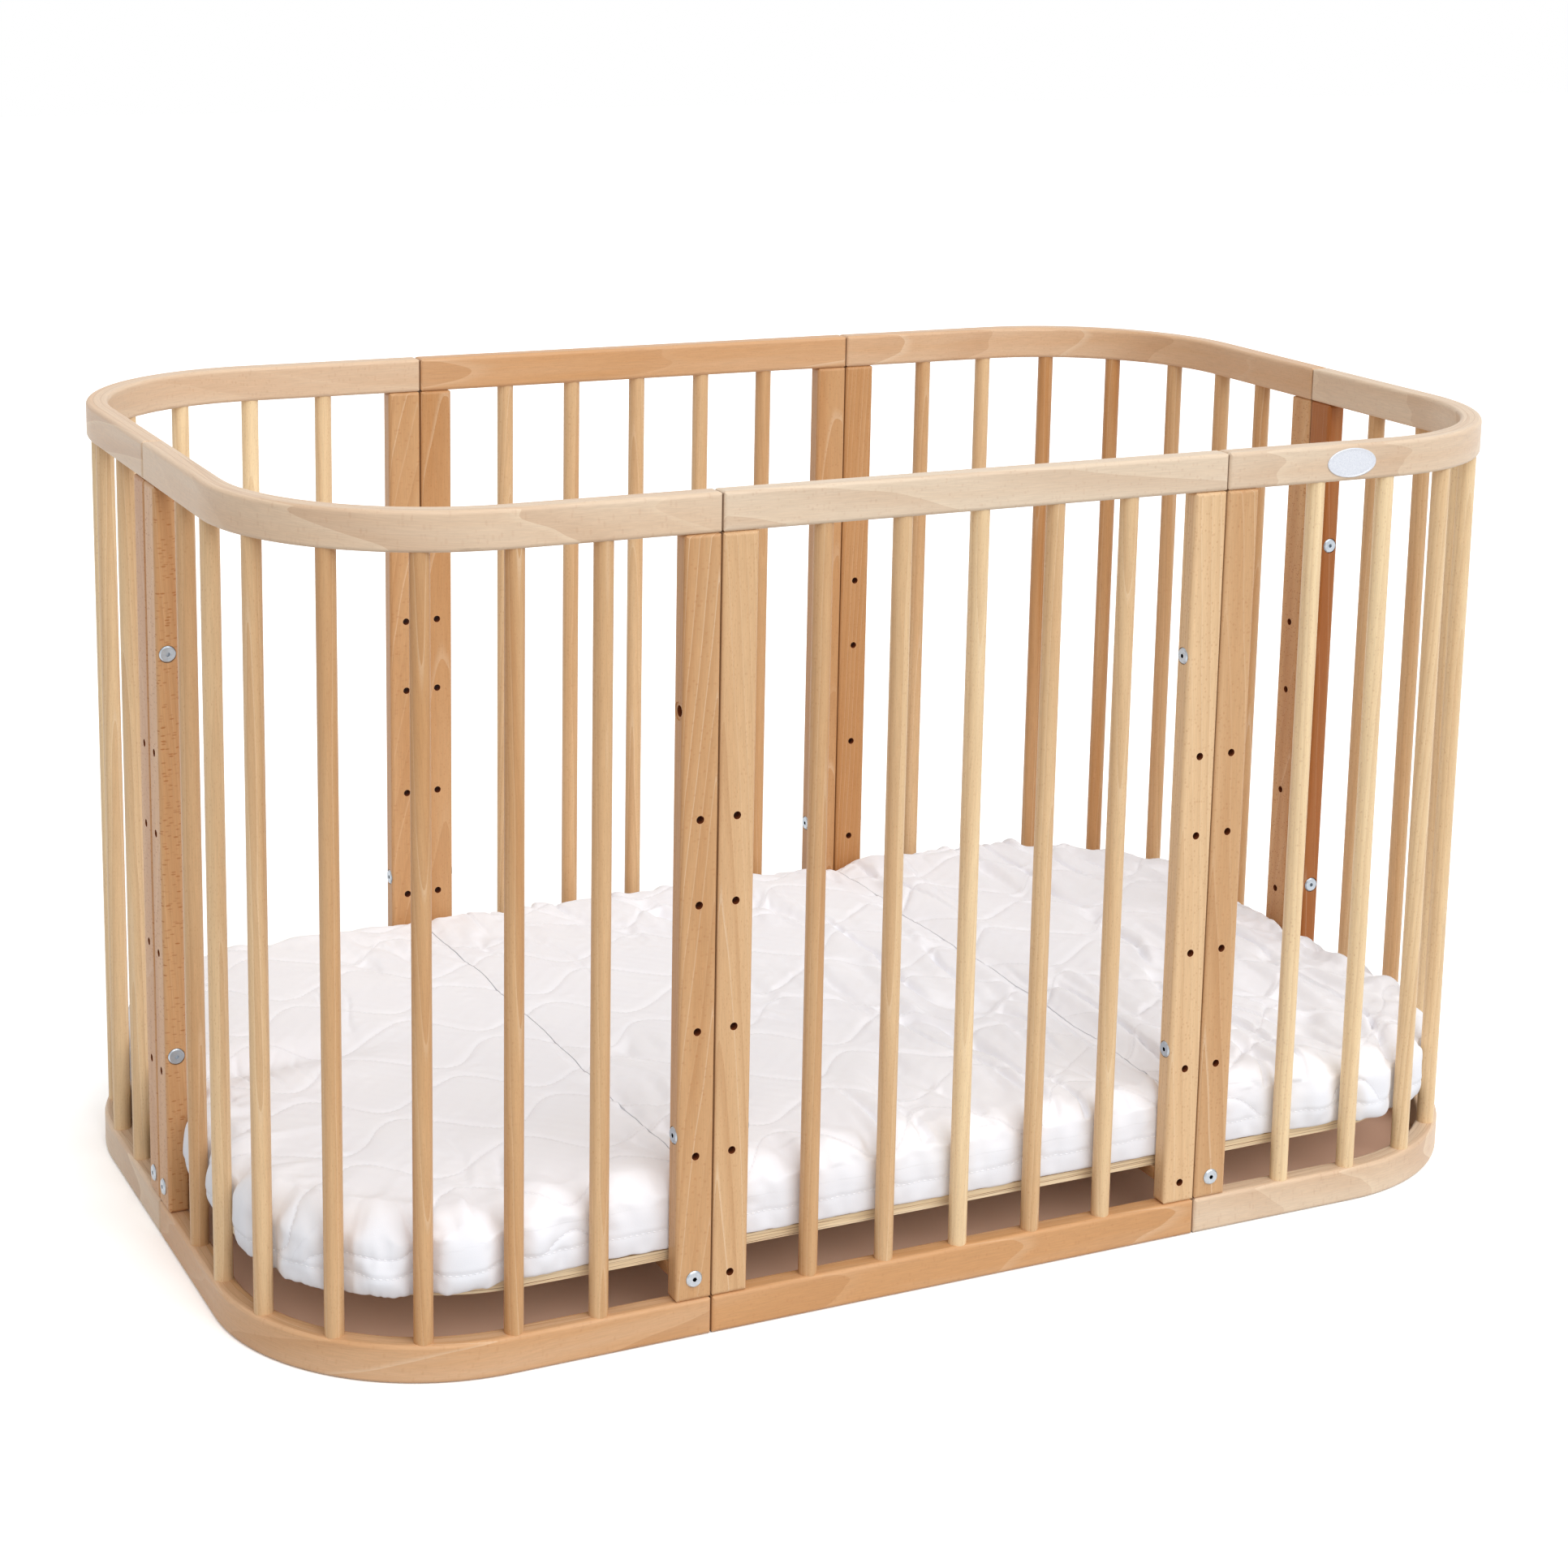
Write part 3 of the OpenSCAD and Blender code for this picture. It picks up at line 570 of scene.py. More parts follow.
def zinc_plate():
    """Bright zinc on pressed steel: a bluish grey metal, a little cloudy and finely scratched."""
    material = blank_finish("bright_zinc")
    tree = material.node_tree
    socket = add(tree, "ShaderNodeAttribute", attribute_name="socket")["Fac"]
    place = add(tree, "ShaderNodeTexCoord")["Object"]
    cloud = add(tree, "ShaderNodeTexNoise", {"Vector": place, "Scale": ZINC_CLOUDS, "Detail": 3.0})["Fac"]
    grit = add(tree, "ShaderNodeTexNoise", {"Vector": place, "Scale": ZINC_GRIT, "Detail": 2.0})["Fac"]
    pale, grey = [tint(tone) for tone in ZINC_TONES]
    colour = add(tree, "ShaderNodeMix", {0: cloud, 6: pale, 7: grey}, data_type="RGBA")[2]
    # Painted shade: the faces inside the sockets are drawn nearly black.
    colour = add(tree, "ShaderNodeMix", {0: socket, 6: colour, 7: tint(SOCKET_PAINTED_SHADE)},
                 data_type="RGBA")[2]
    rough = add(tree, "ShaderNodeMapRange", {"Value": cloud, "To Min": 0.22, "To Max": 0.42})[0]
    normal = add(tree, "ShaderNodeBump", {"Height": grit, "Distance": 0.02 * MM, "Strength": 0.6})[0]
    skin = add(tree, "ShaderNodeBsdfPrincipled",
               {"Base Color": colour, "Roughness": rough, "Normal": normal, "Metallic": 1.0})[0]
    add(tree, "ShaderNodeOutputMaterial", {"Surface": skin})
    return material


PLYWOOD = birch_plywood()
ZINC = zinc_plate()
for board in ("left_end_board", "middle_board", "right_end_board"):
    wear(NODES[board], PLYWOOD)
for metal in ("connector_bolts", "connector_sleeve_nuts", "base_bolts", "base_barrel_nuts", "board_screws"):
    wear(NODES[metal], ZINC)
for headed, axis in (("connector_bolts", 0), ("connector_sleeve_nuts", 0), ("base_bolts", 1)):
    mark_sockets(NODES[headed], axis)


# --- the quilted mattress ---

PAD_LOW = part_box("left_mattress_part")[0]
PAD_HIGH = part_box("right_mattress_part")[1]
PAD_R = BEND_R - (HALF_L - PAD_HIGH.x)
PAD_T = PAD_HIGH.z - PAD_LOW.z
# The cover is cut into three parts at these places, and its parts lie this far apart.
PARTS = ("left", "middle", "right")
CUTS = [(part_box(f"{a}_mattress_part")[1].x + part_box(f"{b}_mattress_part")[0].x) / 2
        for a, b in zip(PARTS, PARTS[1:])]
CUT_GAP = 1.1 * MM
# The boards' corners are cut rounder than the pad's, which hang over them.
BOARD_EDGE = HALF_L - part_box("right_end_board")[1].x
BOARD_R = BEND_R - BOARD_EDGE + 23 * MM
# Height of the seam between the quilted cover and its plain lower band
BAND_H = 25 * MM
# Rounding of the pad's upper and lower edges
RIM_R = 24 * MM
HEM_R = 5 * MM
# Point spacing of the skin while it is shaped; two subdivisions make it four times finer.
PAD_GRID = 8.4 * MM
# Quilting: wavy rows along the cot that swing towards and away from each other
ROW_PITCH = 81.5 * MM
ROW_SWING = 28 * MM
ROW_WAVE = 160 * MM
# A crest of the rows in each part: its x, and its y there
CRESTS = [(-320 * MM, -2 * MM), (0, -12 * MM), (320 * MM, -73 * MM)]
# Width of a post, from its seam with the next one
POST_W = 36.2 * MM
# How far in from the pad's edge the bars and posts dent it
DENT_REACH = 130 * MM
# The shape of that edge: what swells out between the bars, sinks into a dent, and rises beside it
SWELL = 1.2 * MM
SOFT_SWELL = 8 * MM
DENT = 12 * MM
CROWN = 2.5 * MM
# Dents are drawn for this many stops, more than there are: their strength, and their reach inwards
# in millimetres.
DENT_DRAWS = 200
DENT_STRENGTH = (0.55, 1.25)
DENT_RANGE = (34, 62)
# The back corners have been pushed flat, to this share of the front ones' softness.
BACK_SOFT = 0.3
# How far the pad hangs down where the boards don't carry it, and the width over which it bends
HANG = 13 * MM
HANG_W = 17 * MM
# The top's unevenness: puffs between the rows, slow bumps, the creases at the two cuts, and the
# hollow and the ridge along the left end
PUFF = 1 * MM
BUMPS = (1.8 * MM, 0.8 * MM)
CREASES = (-2.5 * MM, -8 * MM)
HOLLOW = -13 * MM
RIDGE = 5 * MM
# The quilting pulls the cover down along its rows, and folds run from row to row.
GROOVE = -1 * MM
FOLD = -9 * MM
WRINKLE = 6 * MM
# The skin stays this far from wood.
CLEAR = 0.7 * MM
# The wadding is pushed in over this many steps. It moves the skin by up to the first of these lengths,
# and by up to the second more where the pad is softest.
STUFFING_STEPS = 20
STUFFED = 1.5 * MM
STUFFED_SOFT = 3.5 * MM


def ripple(u, v, seed):
    """Smooth noise from -1 to 1, one bump wide per unit of u and v."""
    # The noise repeats after this many bumps.
    size = 97
    grid = np.random.default_rng(seed).uniform(-1, 1, (size, size))
    iu, iv = np.floor(u).astype(int), np.floor(v).astype(int)
    fu, fv = u - iu, v - iv
    fu, fv = fu * fu * (3 - 2 * fu), fv * fv * (3 - 2 * fv)
    near = grid[iu % size, iv % size] * (1 - fu) + grid[(iu + 1) % size, iv % size] * fu
    far = grid[iu % size, (iv + 1) % size] * (1 - fu) + grid[(iu + 1) % size, (iv + 1) % size] * fu
    return near * (1 - fv) + far * fv


def ease(value, low, high):
    """0 below low, 1 above high, and smooth between."""
    t = np.clip((value - low) / (high - low), 0, 1)
    return t * t * (3 - 2 * t)


def bell(value, width):
    return np.exp(-(value / width) ** 2)


def inside_of(xy, edge, corner_r):
    """How far points lie inside a rounded outline that is drawn in from the cot's, and their way out."""
    middle = np.array([HALF_L, HALF_W]) - edge - corner_r
    q = np.abs(xy) - middle
    outside = np.maximum(q, 0)
    length = np.linalg.norm(outside, axis=1)
    depth = corner_r - length - np.minimum(q.max(1), 0)
    straight = np.stack([q[:, 0] > q[:, 1], q[:, 0] <= q[:, 1]], 1).astype(float)
    out = np.where(length[:, None] > 1e-9, outside / np.maximum(length, 1e-9)[:, None], straight)
    return depth, out * np.where(xy < 0, -1, 1)


def pad_edge(xy):
    return inside_of(xy, HALF_L - PAD_HIGH.x, PAD_R)


def bend_share(xy):
    """0 along the straight sides, 1 round the corners and at the ends, where the pad is softest."""
    return ease(np.abs(xy[:, 0]) - BEND_X, -0.09, 0.0)


# What dents the pad's edge: where each bar and each pair of posts stands, and half its width
STOPS = [(place, BAR_D / 2) for place in BARS]
STOPS += [(np.array([sx * SEAM_X, sy * (HALF_W - RAIL_T / 2)]), POST_W) for sx in (-1, 1) for sy in (-1, 1)]
STOPS += [(np.array([sx * (HALF_L - RAIL_T / 2), 0]), POST_W) for sx in (-1, 1)]


def stop_distance(xy, out, inside):
    """Distance along the edge from the nearest bar's or post's flank, and that stop's number."""
    on_edge = xy + out * inside[:, None]
    best, number = np.full(len(xy), 1.0), np.zeros(len(xy), int)
    for i, (place, half) in enumerate(STOPS):
        away = on_edge - place
        away -= out * (away * out).sum(1)[:, None]
        gap = np.linalg.norm(on_edge - place, axis=1)
        side = np.where(gap < 0.2, np.linalg.norm(away, axis=1) - half, 1.0)
        number = np.where(side < best, i, number)
        best = np.minimum(side, best)
    return best, number


def row_swing(u, v, crest_u):
    """How far the rows swing aside at a place, with the unevenness of sewing."""
    turn = 2 * math.pi * (u - crest_u) / ROW_WAVE
    return ROW_SWING * (np.cos(turn) - 0.13 * np.sin(2 * turn)) + 3 * MM * ripple(u / 0.05, v / 0.05, 5)


def row_distance(u, v):
    """Signed distance from the nearest quilted row of the part that a point belongs to."""
    part = (u > CUTS[0]).astype(int) + (u > CUTS[1])
    crest = np.array(CRESTS)[part]
    swing = row_swing(u, v, crest[:, 0])
    base = crest[:, 1] - ROW_SWING
    rising = (v - base - swing + ROW_PITCH) % (2 * ROW_PITCH) - ROW_PITCH
    falling = (v - base + swing) % (2 * ROW_PITCH) - ROW_PITCH
    slope = ROW_SWING * 2 * math.pi / ROW_WAVE * np.sin(2 * math.pi * (u - crest[:, 0]) / ROW_WAVE)
    nearest = np.where(np.abs(rising) < np.abs(falling), rising, falling)
    return nearest / np.sqrt(1 + slope ** 2)


def apply_modifiers(obj):
    """Replaces a piece's mesh by what its modifiers make of it."""
    graph = bpy.context.evaluated_depsgraph_get()
    made = bpy.data.meshes.new_from_object(obj.evaluated_get(graph), preserve_all_data_layers=True,
                                           depsgraph=graph)
    obj.modifiers.clear()
    obj.data = made


def pad_blank():
    """The whole pad as a plain rounded slab with an even skin."""
    shape = bmesh.new()
    bmesh.ops.create_cube(shape, size=1)
    size = Vector((2 * PAD_HIGH.x, 2 * PAD_HIGH.y, PAD_T))
    bmesh.ops.scale(shape, vec=size, verts=shape.verts)
    bmesh.ops.translate(shape, vec=(0, 0, PAD_LOW.z + PAD_T / 2), verts=shape.verts)
    upright = [e for e in shape.edges if abs(e.verts[0].co.z - e.verts[1].co.z) > PAD_T / 2]
    bmesh.ops.bevel(shape, geom=upright, offset=PAD_R, segments=32, affect="EDGES", profile=0.5)
    for z, radius, steps in ((PAD_HIGH.z, RIM_R, 6), (PAD_LOW.z, HEM_R, 3)):
        level = [e for e in shape.edges if all(abs(v.co.z - z) < 1e-6 for v in e.verts)]
        rim = [e for e in level if len(e.link_faces) == 2
               and any(abs(f.normal.z) < 0.5 for f in e.link_faces)]
        bmesh.ops.bevel(shape, geom=rim, offset=radius, segments=steps, affect="EDGES", profile=0.5)
    pad = piece_from("pad", shape)
    skin = pad.modifiers.new("even_skin", "REMESH")
    skin.mode = "VOXEL"
    skin.voxel_size = PAD_GRID
    apply_modifiers(pad)
    return pad


def lay_cloth(co):
    """Where each point of the skin lies on the flat cloth: two places along it, and the height."""
    inside, out = pad_edge(co[:, :2])
    round_rim = RIM_R * math.pi / 2
    in_rim = np.clip((RIM_R - inside) / RIM_R, 0, 1)
    over_rim = RIM_R * np.arcsin(in_rim) - RIM_R * in_rim
    below_rim = round_rim - RIM_R + PAD_HIGH.z - RIM_R - co[:, 2]
    down = np.where(co[:, 2] > PAD_HIGH.z - RIM_R, over_rim, below_rim)
    return np.column_stack([co[:, :2] + out * down[:, None], co[:, 2]])


def press_edge(co, normal):
    """Cushions between the bars, dents behind bars and posts, and corners that hang over the boards."""
    inside, out = pad_edge(co[:, :2])
    near = inside < DENT_REACH
    flank, number = np.full(len(co), 1.0), np.zeros(len(co), int)
    flank[near], number[near] = stop_distance(co[near, :2], out[near], inside[near])
    bend = bend_share(co[:, :2]) * np.where(co[:, 1] > 0, BACK_SOFT, 1.0)
    up = (co[:, 2] - PAD_LOW.z) / PAD_T
    chance = np.random.default_rng(11)
    strength, reach, lean = [chance.uniform(*span, DENT_DRAWS)
                             for span in (DENT_STRENGTH, DENT_RANGE, (-1, 1))]

    side = ease((normal[:, :2] * out).sum(1), -0.1, 0.6)
    swell = (SWELL + SOFT_SWELL * bend) * (1 - np.exp(-np.maximum(flank, 0) / (8 * MM)))
    belly = np.interp(up, [0, 0.16, 0.4, 0.75, 1], [0.55, 0.95, 1.0, 0.75, 0.3])
    push = side * swell * belly * (1 + 0.15 * ripple(number * 1.7, up * 2, 3))

    top = ease(normal[:, 2], 0.1, 0.7)
    run = co[:, 0] * out[:, 1] - co[:, 1] * out[:, 0]
    way = np.sign(ripple(run / 0.05, number * 1.3, 8))
    skewed = flank + lean[number] * 0.25 * np.maximum(inside, 0) * way
    width = (12 + 8 * bend) * MM + (0.1 + 0.2 * bend) * inside
    valley = strength[number] * bell(np.maximum(skewed, 0), width)
    valley *= np.exp(-np.maximum(inside, 0) / (reach[number] * MM)) * (0.1 + 0.75 * bend)
    crown = ease(flank, 4 * MM, 28 * MM) * bell(inside - 22 * MM, 24 * MM) * (0.1 + 0.8 * bend)
    lift = top * (CROWN * crown - DENT * valley * near)

    free = 3 * MM - inside_of(co[:, :2], BOARD_EDGE, BOARD_R)[0]
    hang = HANG * ease(free, 1 * MM, HANG_W) * (1 + 0.2 * ripple(run / 0.06, 0 * run, 14))
    lift -= hang * np.interp(up, [0, 0.5, 1], [1, 0.8, 0.45])
    return co + np.column_stack([out * push[:, None], lift]), np.where(near, flank, 1.0)


def settle_top(co, normal, cloth):
    """The top's slow unevenness: puffs between the rows, creases at the cuts, the hollow at one end."""
    inside, _ = pad_edge(co[:, :2])
    u, v, height = cloth.T
    band_top = PAD_LOW.z + BAND_H
    cover = ease(normal[:, 2], -0.1, 0.3) * ease(height, band_top, band_top + 10 * MM)
    top = ease(normal[:, 2], 0.3, 0.8)
    puff = PUFF * (1 - np.exp(-np.abs(row_distance(u, v)) / (9 * MM)))
    sag = BUMPS[0] * ripple(u / 0.19, v / 0.17, 35) + BUMPS[1] * ripple(u / 0.07, v / 0.1, 36)
    hollow = HOLLOW * bell(v - 36 * MM, 26 * MM) * ease(-u, 0.36, 0.62)
    hollow += RIDGE * bell(v + 22 * MM, 30 * MM) * ease(-u, 0.38, 0.56)
    narrow = CREASES[0] * bell(u - CUTS[0], 5 * MM)
    wide = CREASES[1] * bell(u - CUTS[1], 18 * MM) - 2 * MM * bell(u - CUTS[1], 5 * MM)
    wide += 4 * MM * bell(u - CUTS[1] - 45 * MM, 24 * MM)
    co = co + normal * (cover * puff)[:, None]
    co[:, 2] += top * ((sag + hollow) * ease(inside, 0, 0.05) + narrow + wide)
    return co


def fold_cover(co, normal, cloth):
    """The cover's fine form: rows pulled down, tension folds between them, and the band's seam."""
    inside, out = pad_edge(co[:, :2])
    u, v, height = cloth.T
    row = row_distance(u, v)
    seam = height - (PAD_LOW.z + BAND_H)
    quilted = ease(seam, 1 * MM, 4 * MM) * ease(normal[:, 2], -0.4, -0.1)
    top = ease(normal[:, 2], 0.2, 0.7)
    groove = GROOVE * bell(row, 2.4 * MM) * quilted
    # Folds start at the rows and run across the cot, closer together towards its right end.
    right = ease(u, -0.30, -0.10)
    wander = 0.7 * ripple(u / 0.09, v / 0.09, 33)
    line = ripple(u / 0.028 + wander, v / 0.19, 32)
    second = ripple(u / 0.014 + 2 * wander, v / 0.10, 37)
    patch = ease(ripple(u / 0.09, v / 0.14, 31), -0.6 + 0.35 * (1 - right), 0.5)
    between = 0.35 + 0.65 * ease(np.abs(row), 0, 7 * MM)
    folds = (FOLD * bell(line, 0.16) + WRINKLE * second) * patch * (0.45 + 0.55 * right) * top * between
    # Short folds run over the rim and die out down the side.
    along = co[:, 0] * out[:, 1] - co[:, 1] * out[:, 0]
    rim = ripple(along / 0.014, inside / 0.07, 21) * ripple(along / 0.055, inside / 0.05, 22)
    bend = bend_share(co[:, :2])
    rim = (1.5 - 0.3 * bend) * MM * rim * bell(inside - 6 * MM, 30 * MM)
    # The plain band is gathered along the hem.
    hem_up = height - PAD_LOW.z
    gathers = ripple(along / 0.007, hem_up / 0.03, 24) * ripple(along / 0.03, hem_up / 0.05, 25)
    gathers = (0.5 + 0.4 * bend) * MM * gathers * bell(hem_up - 4 * MM, 12 * MM)
    band = (-0.45 - 0.4 * bend) * MM * bell(seam, 1.9 * MM) + 0.3 * MM * bell(seam - 4 * MM, 3 * MM)
    band *= ease((normal[:, :2] * out).sum(1), 0.1, 0.5)
    return co + normal * (groove + folds + rim + gathers + band)[:, None], row, quilted


def keep_clear(co):
    """Holds the skin off the bars, the posts and the boards."""
    for place in BARS:
        away = co[:, :2] - place
        gap = np.maximum(np.linalg.norm(away, axis=1), 1e-6)
        close = gap < BAR_D / 2 + CLEAR
        co[close, :2] = place + away[close] / gap[close, None] * (BAR_D / 2 + CLEAR)
    side_in = -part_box("front_side_left_post")[1].y - CLEAR
    end_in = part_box("front_right_corner_end_post")[0].x - CLEAR
    at_side = np.abs(np.abs(co[:, 0]) - SEAM_X) < POST_W + CLEAR
    co[at_side, 1] = np.clip(co[at_side, 1], -side_in, side_in)
    at_end = np.abs(co[:, 1]) < POST_W + CLEAR
    co[at_end, 0] = np.clip(co[at_end, 0], -end_in, end_in)
    on_board = inside_of(co[:, :2], BOARD_EDGE, BOARD_R)[0] > -1 * MM
    co[on_board, 2] = np.maximum(co[on_board, 2], PAD_LOW.z)
    return co


def stuff(pad, held, most):
    """Blows the skin up where it isn't held, as wadding does, with a little more cloth than it needs."""
    before = points_of(pad)
    group = pad.vertex_groups.new(name="held")
    for level in np.unique(np.round(held, 1)):
        group.add(np.flatnonzero(np.round(held, 1) == level).tolist(), float(level), "REPLACE")
    modifier = pad.modifiers.new("stuffing", "CLOTH")
    cloth = modifier.settings
    cloth.quality = 4
    cloth.mass = 0.25
    cloth.tension_stiffness = 12
    cloth.compression_stiffness = 4
    cloth.shear_stiffness = 3
    cloth.bending_stiffness = 0.4
    cloth.vertex_group_mass = "held"
    cloth.use_pressure = True
    cloth.uniform_pressure_force = 4
    cloth.shrink_min = -0.05
    cloth.effector_weights.gravity = 0
    modifier.collision_settings.use_collision = False
    modifier.point_cache.frame_end = STUFFING_STEPS
    for step in range(1, STUFFING_STEPS + 1):
        bpy.context.scene.frame_set(step)
    apply_modifiers(pad)
    move = points_of(pad) - before
    length = np.maximum(np.linalg.norm(move, axis=1), 1e-9)
    move *= (np.minimum(length, most) / length)[:, None]
    move_points(pad, before + move)
    bpy.context.scene.frame_set(1)


def stray(co):
    """Lets the cuts wander a little, as soft ends do."""
    co = co.copy()
    for seed, cut in enumerate(CUTS, 41):
        aside = ripple(co[:, 1] / 0.06, 0 * co[:, 1], seed)
        co[:, 0] += 2.5 * MM * aside * bell(co[:, 0] - cut, 25 * MM)
    return co


def cut_part(pad, name, from_x, to_x):
    """A copy of the pad between two cuts, with flat closed ends."""
    shape = bmesh.new()
    shape.from_mesh(pad.data)
    for x, way in ((from_x, -1), (to_x, 1)):
        if x is None:
            continue
        every = [*shape.verts, *shape.edges, *shape.faces]
        bmesh.ops.bisect_plane(shape, geom=every, plane_co=(x, 0, 0), plane_no=(way, 0, 0),
                               clear_outer=True)
        rim = [e for e in shape.edges if e.is_boundary]
        ends = bmesh.ops.holes_fill(shape, edges=rim, sides=0)["faces"]
        for face in ends:
            face.smooth = False
        for edge in rim:
            edge.smooth = False
        bmesh.ops.triangulate(shape, faces=ends)
    return piece_from(name, shape)


# A stitch's length, width and height, and the distance between two. The thread is drawn twice as thick
# as it is, so that it shows.
STITCH = (4 * MM, 0.9 * MM, 0.6 * MM)
STITCH_PITCH = 6 * MM
# Rows stop this far from a cut, and run on to this distance from the middle, down the pad's ends.
CUT_MARGIN = 3 * MM
ROW_END = 0.78
# A row's points lie this far apart, and a skin point this near carries them.
ROW_STEP = 2 * MM
ON_SKIN = 2.5 * MM


def sewing_lines():
    """The quilted rows and the seam of the lower band, as dense lines on the flat cloth."""
    edges = [-1.0, *CUTS, 1.0]
    for part, (crest_u, crest_v) in enumerate(CRESTS):
        u = np.arange(edges[part] + CUT_MARGIN, edges[part + 1] - CUT_MARGIN, ROW_STEP)
        u = u[np.abs(u) < ROW_END]
        for row in range(-6, 8):
            middle = crest_v - ROW_SWING + row * ROW_PITCH
            way = -1 if row % 2 else 1
            v = np.full(len(u), middle)
            # The sewing's unevenness depends on the row's own place, so it is closed in on.
            for _ in range(3):
                v = middle + way * row_swing(u, v, crest_u)
            yield np.column_stack([u, v])
    down = RIM_R * (math.pi / 2 - 2) + PAD_T - BAND_H
    turn = np.linspace(0, math.pi / 2, 180)
    bend = np.column_stack([np.cos(turn), np.sin(turn)]) * (PAD_R + down)
    straight = np.array([PAD_HIGH.x, PAD_HIGH.y]) - PAD_R
    leg = np.linspace(0, 1, 320)[:, None]
    for sx, sy in CORNERS.values():
        for line in (bend + straight, leg * (straight[0], 0) + (0, PAD_HIGH.y + down),
                     leg * (0, straight[1]) + (PAD_HIGH.x + down, 0)):
            yield line * (sx, sy)


def stitch_places(pad, near_seam):
    """Where each stitch lies on the finished skin, the way it runs and the way it faces."""
    co, normal, cloth = points_of(pad), normals_of(pad), cloth_of(pad)
    above = cloth[:, 2] > PAD_LOW.z + BAND_H - 3 * MM
    sewn = np.flatnonzero(near_seam & above & (normal[:, 2] > -0.5))
    tree = KDTree(len(sewn))
    for i in sewn:
        tree.insert((cloth[i, 0], cloth[i, 1], 0), i)
    tree.balance()
    places = []
    for line in sewing_lines():
        run = []
        for u, v in line:
            found = tree.find_n((u, v, 0), 4)
            if found[0][2] < ON_SKIN:
                index = [i for _, i, _ in found]
                share = np.array([1 / (far + 0.1 * MM) for _, _, far in found])
                share /= share.sum()
                run.append(np.concatenate([share @ co[index], share @ normal[index]]))
        run = np.array(run).reshape(-1, 6)
        if len(run) < 3:
            continue
        step = np.linalg.norm(np.diff(run[:, :3], axis=0), axis=1)
        reach = np.concatenate([[0], np.cumsum(step)])
        at = np.arange(STITCH[0] / 2, reach[-1] - STITCH[0] / 2, STITCH_PITCH)
        # A stitch is left out where its line leaves the skin.
        at = at[np.interp(at, reach[1:], step) < 8 * MM]
        spot = np.column_stack([np.interp(at, reach, run[:, k]) for k in range(6)])
        ahead = np.column_stack([np.interp(at + MM, reach, run[:, k]) for k in range(3)])
        places.append(np.column_stack([spot, ahead - spot[:, :3]]))
    return np.concatenate(places)


def stitch_tree():
    """Geometry nodes that lay one thread loop on each point, along its aim and facing its up."""
    tree = bpy.data.node_groups.new("stitches", "GeometryNodeTree")
    tree.interface.new_socket(name="Geometry", in_out="INPUT", socket_type="NodeSocketGeometry")
    for name, kind in (("Stitch Size", "NodeSocketVector"), ("Thread", "NodeSocketMaterial")):
        tree.interface.new_socket(name=name, in_out="INPUT", socket_type=kind)
    tree.interface.new_socket(name="Geometry", in_out="OUTPUT", socket_type="NodeSocketGeometry")
    given = add(tree, "NodeGroupInput")
    loop = add(tree, "GeometryNodeMeshUVSphere", {"Segments": 6, "Rings": 4, "Radius": 0.5})["Mesh"]
    loop = add(tree, "GeometryNodeTransform", {"Geometry": loop, "Scale": given["Stitch Size"]})[0]
    aim, up = [add(tree, "GeometryNodeInputNamedAttribute", {"Name": key}, data_type="FLOAT_VECTOR")[0]
               for key in ("aim", "up")]
    turn = add(tree, "FunctionNodeAlignRotationToVector", {"Vector": aim}, axis="X")[0]
    turn = add(tree, "FunctionNodeAlignRotationToVector", {"Rotation": turn, "Vector": up}, axis="Z",
               pivot_axis="X")[0]
    laid = add(tree, "GeometryNodeInstanceOnPoints",
               {"Points": given["Geometry"], "Instance": loop, "Rotation": turn})[0]
    laid = add(tree, "GeometryNodeRealizeInstances", {"Geometry": laid})[0]
    laid = add(tree, "GeometryNodeSetShadeSmooth", {"Geometry": laid})[0]
    laid = add(tree, "GeometryNodeSetMaterial", {"Geometry": laid, "Material": given["Thread"]})[0]
    add(tree, "NodeGroupOutput", {"Geometry": laid})
    return tree


def sew(name, places, tree, thread):
    """One piece with all the stitches of a mattress part."""
    mesh = bpy.data.meshes.new(name)
    mesh.from_pydata(places[:, :3].tolist(), [], [])
    piece = new_piece(name, mesh)
    mark(piece, "up", places[:, 3:6])
    mark(piece, "aim", places[:, 6:9])
    modifier = piece.modifiers.new("stitches", "NODES")
    modifier.node_group = tree
    sockets = tree.interface.items_tree
    modifier[sockets["Stitch Size"].identifier] = STITCH
    modifier[sockets["Thread"].identifier] = thread
    apply_modifiers(piece)
    return piece


def held_down(co, cloth, flank):
    """How firmly each point of the skin is held while the wadding is pushed in: 0 free, 1 fast."""
    inside, _ = pad_edge(co[:, :2])
    rows = bell(row_distance(cloth[:, 0], cloth[:, 1]), 6 * MM)
    flat = ease(inside, 15 * MM, 70 * MM)
    cuts = np.maximum(*[bell(cloth[:, 0] - cut, 8 * MM) for cut in CUTS])
    dents = bell(np.maximum(flank, 0), 6 * MM) * bell(np.maximum(inside, 0), 18 * MM)
    base = 1 - ease(cloth[:, 2], PAD_LOW.z + 6 * MM, PAD_LOW.z + 16 * MM)
    return np.clip(np.max([0.8 * rows, 0.8 * flat, cuts, dents, base], axis=0), 0, 1)


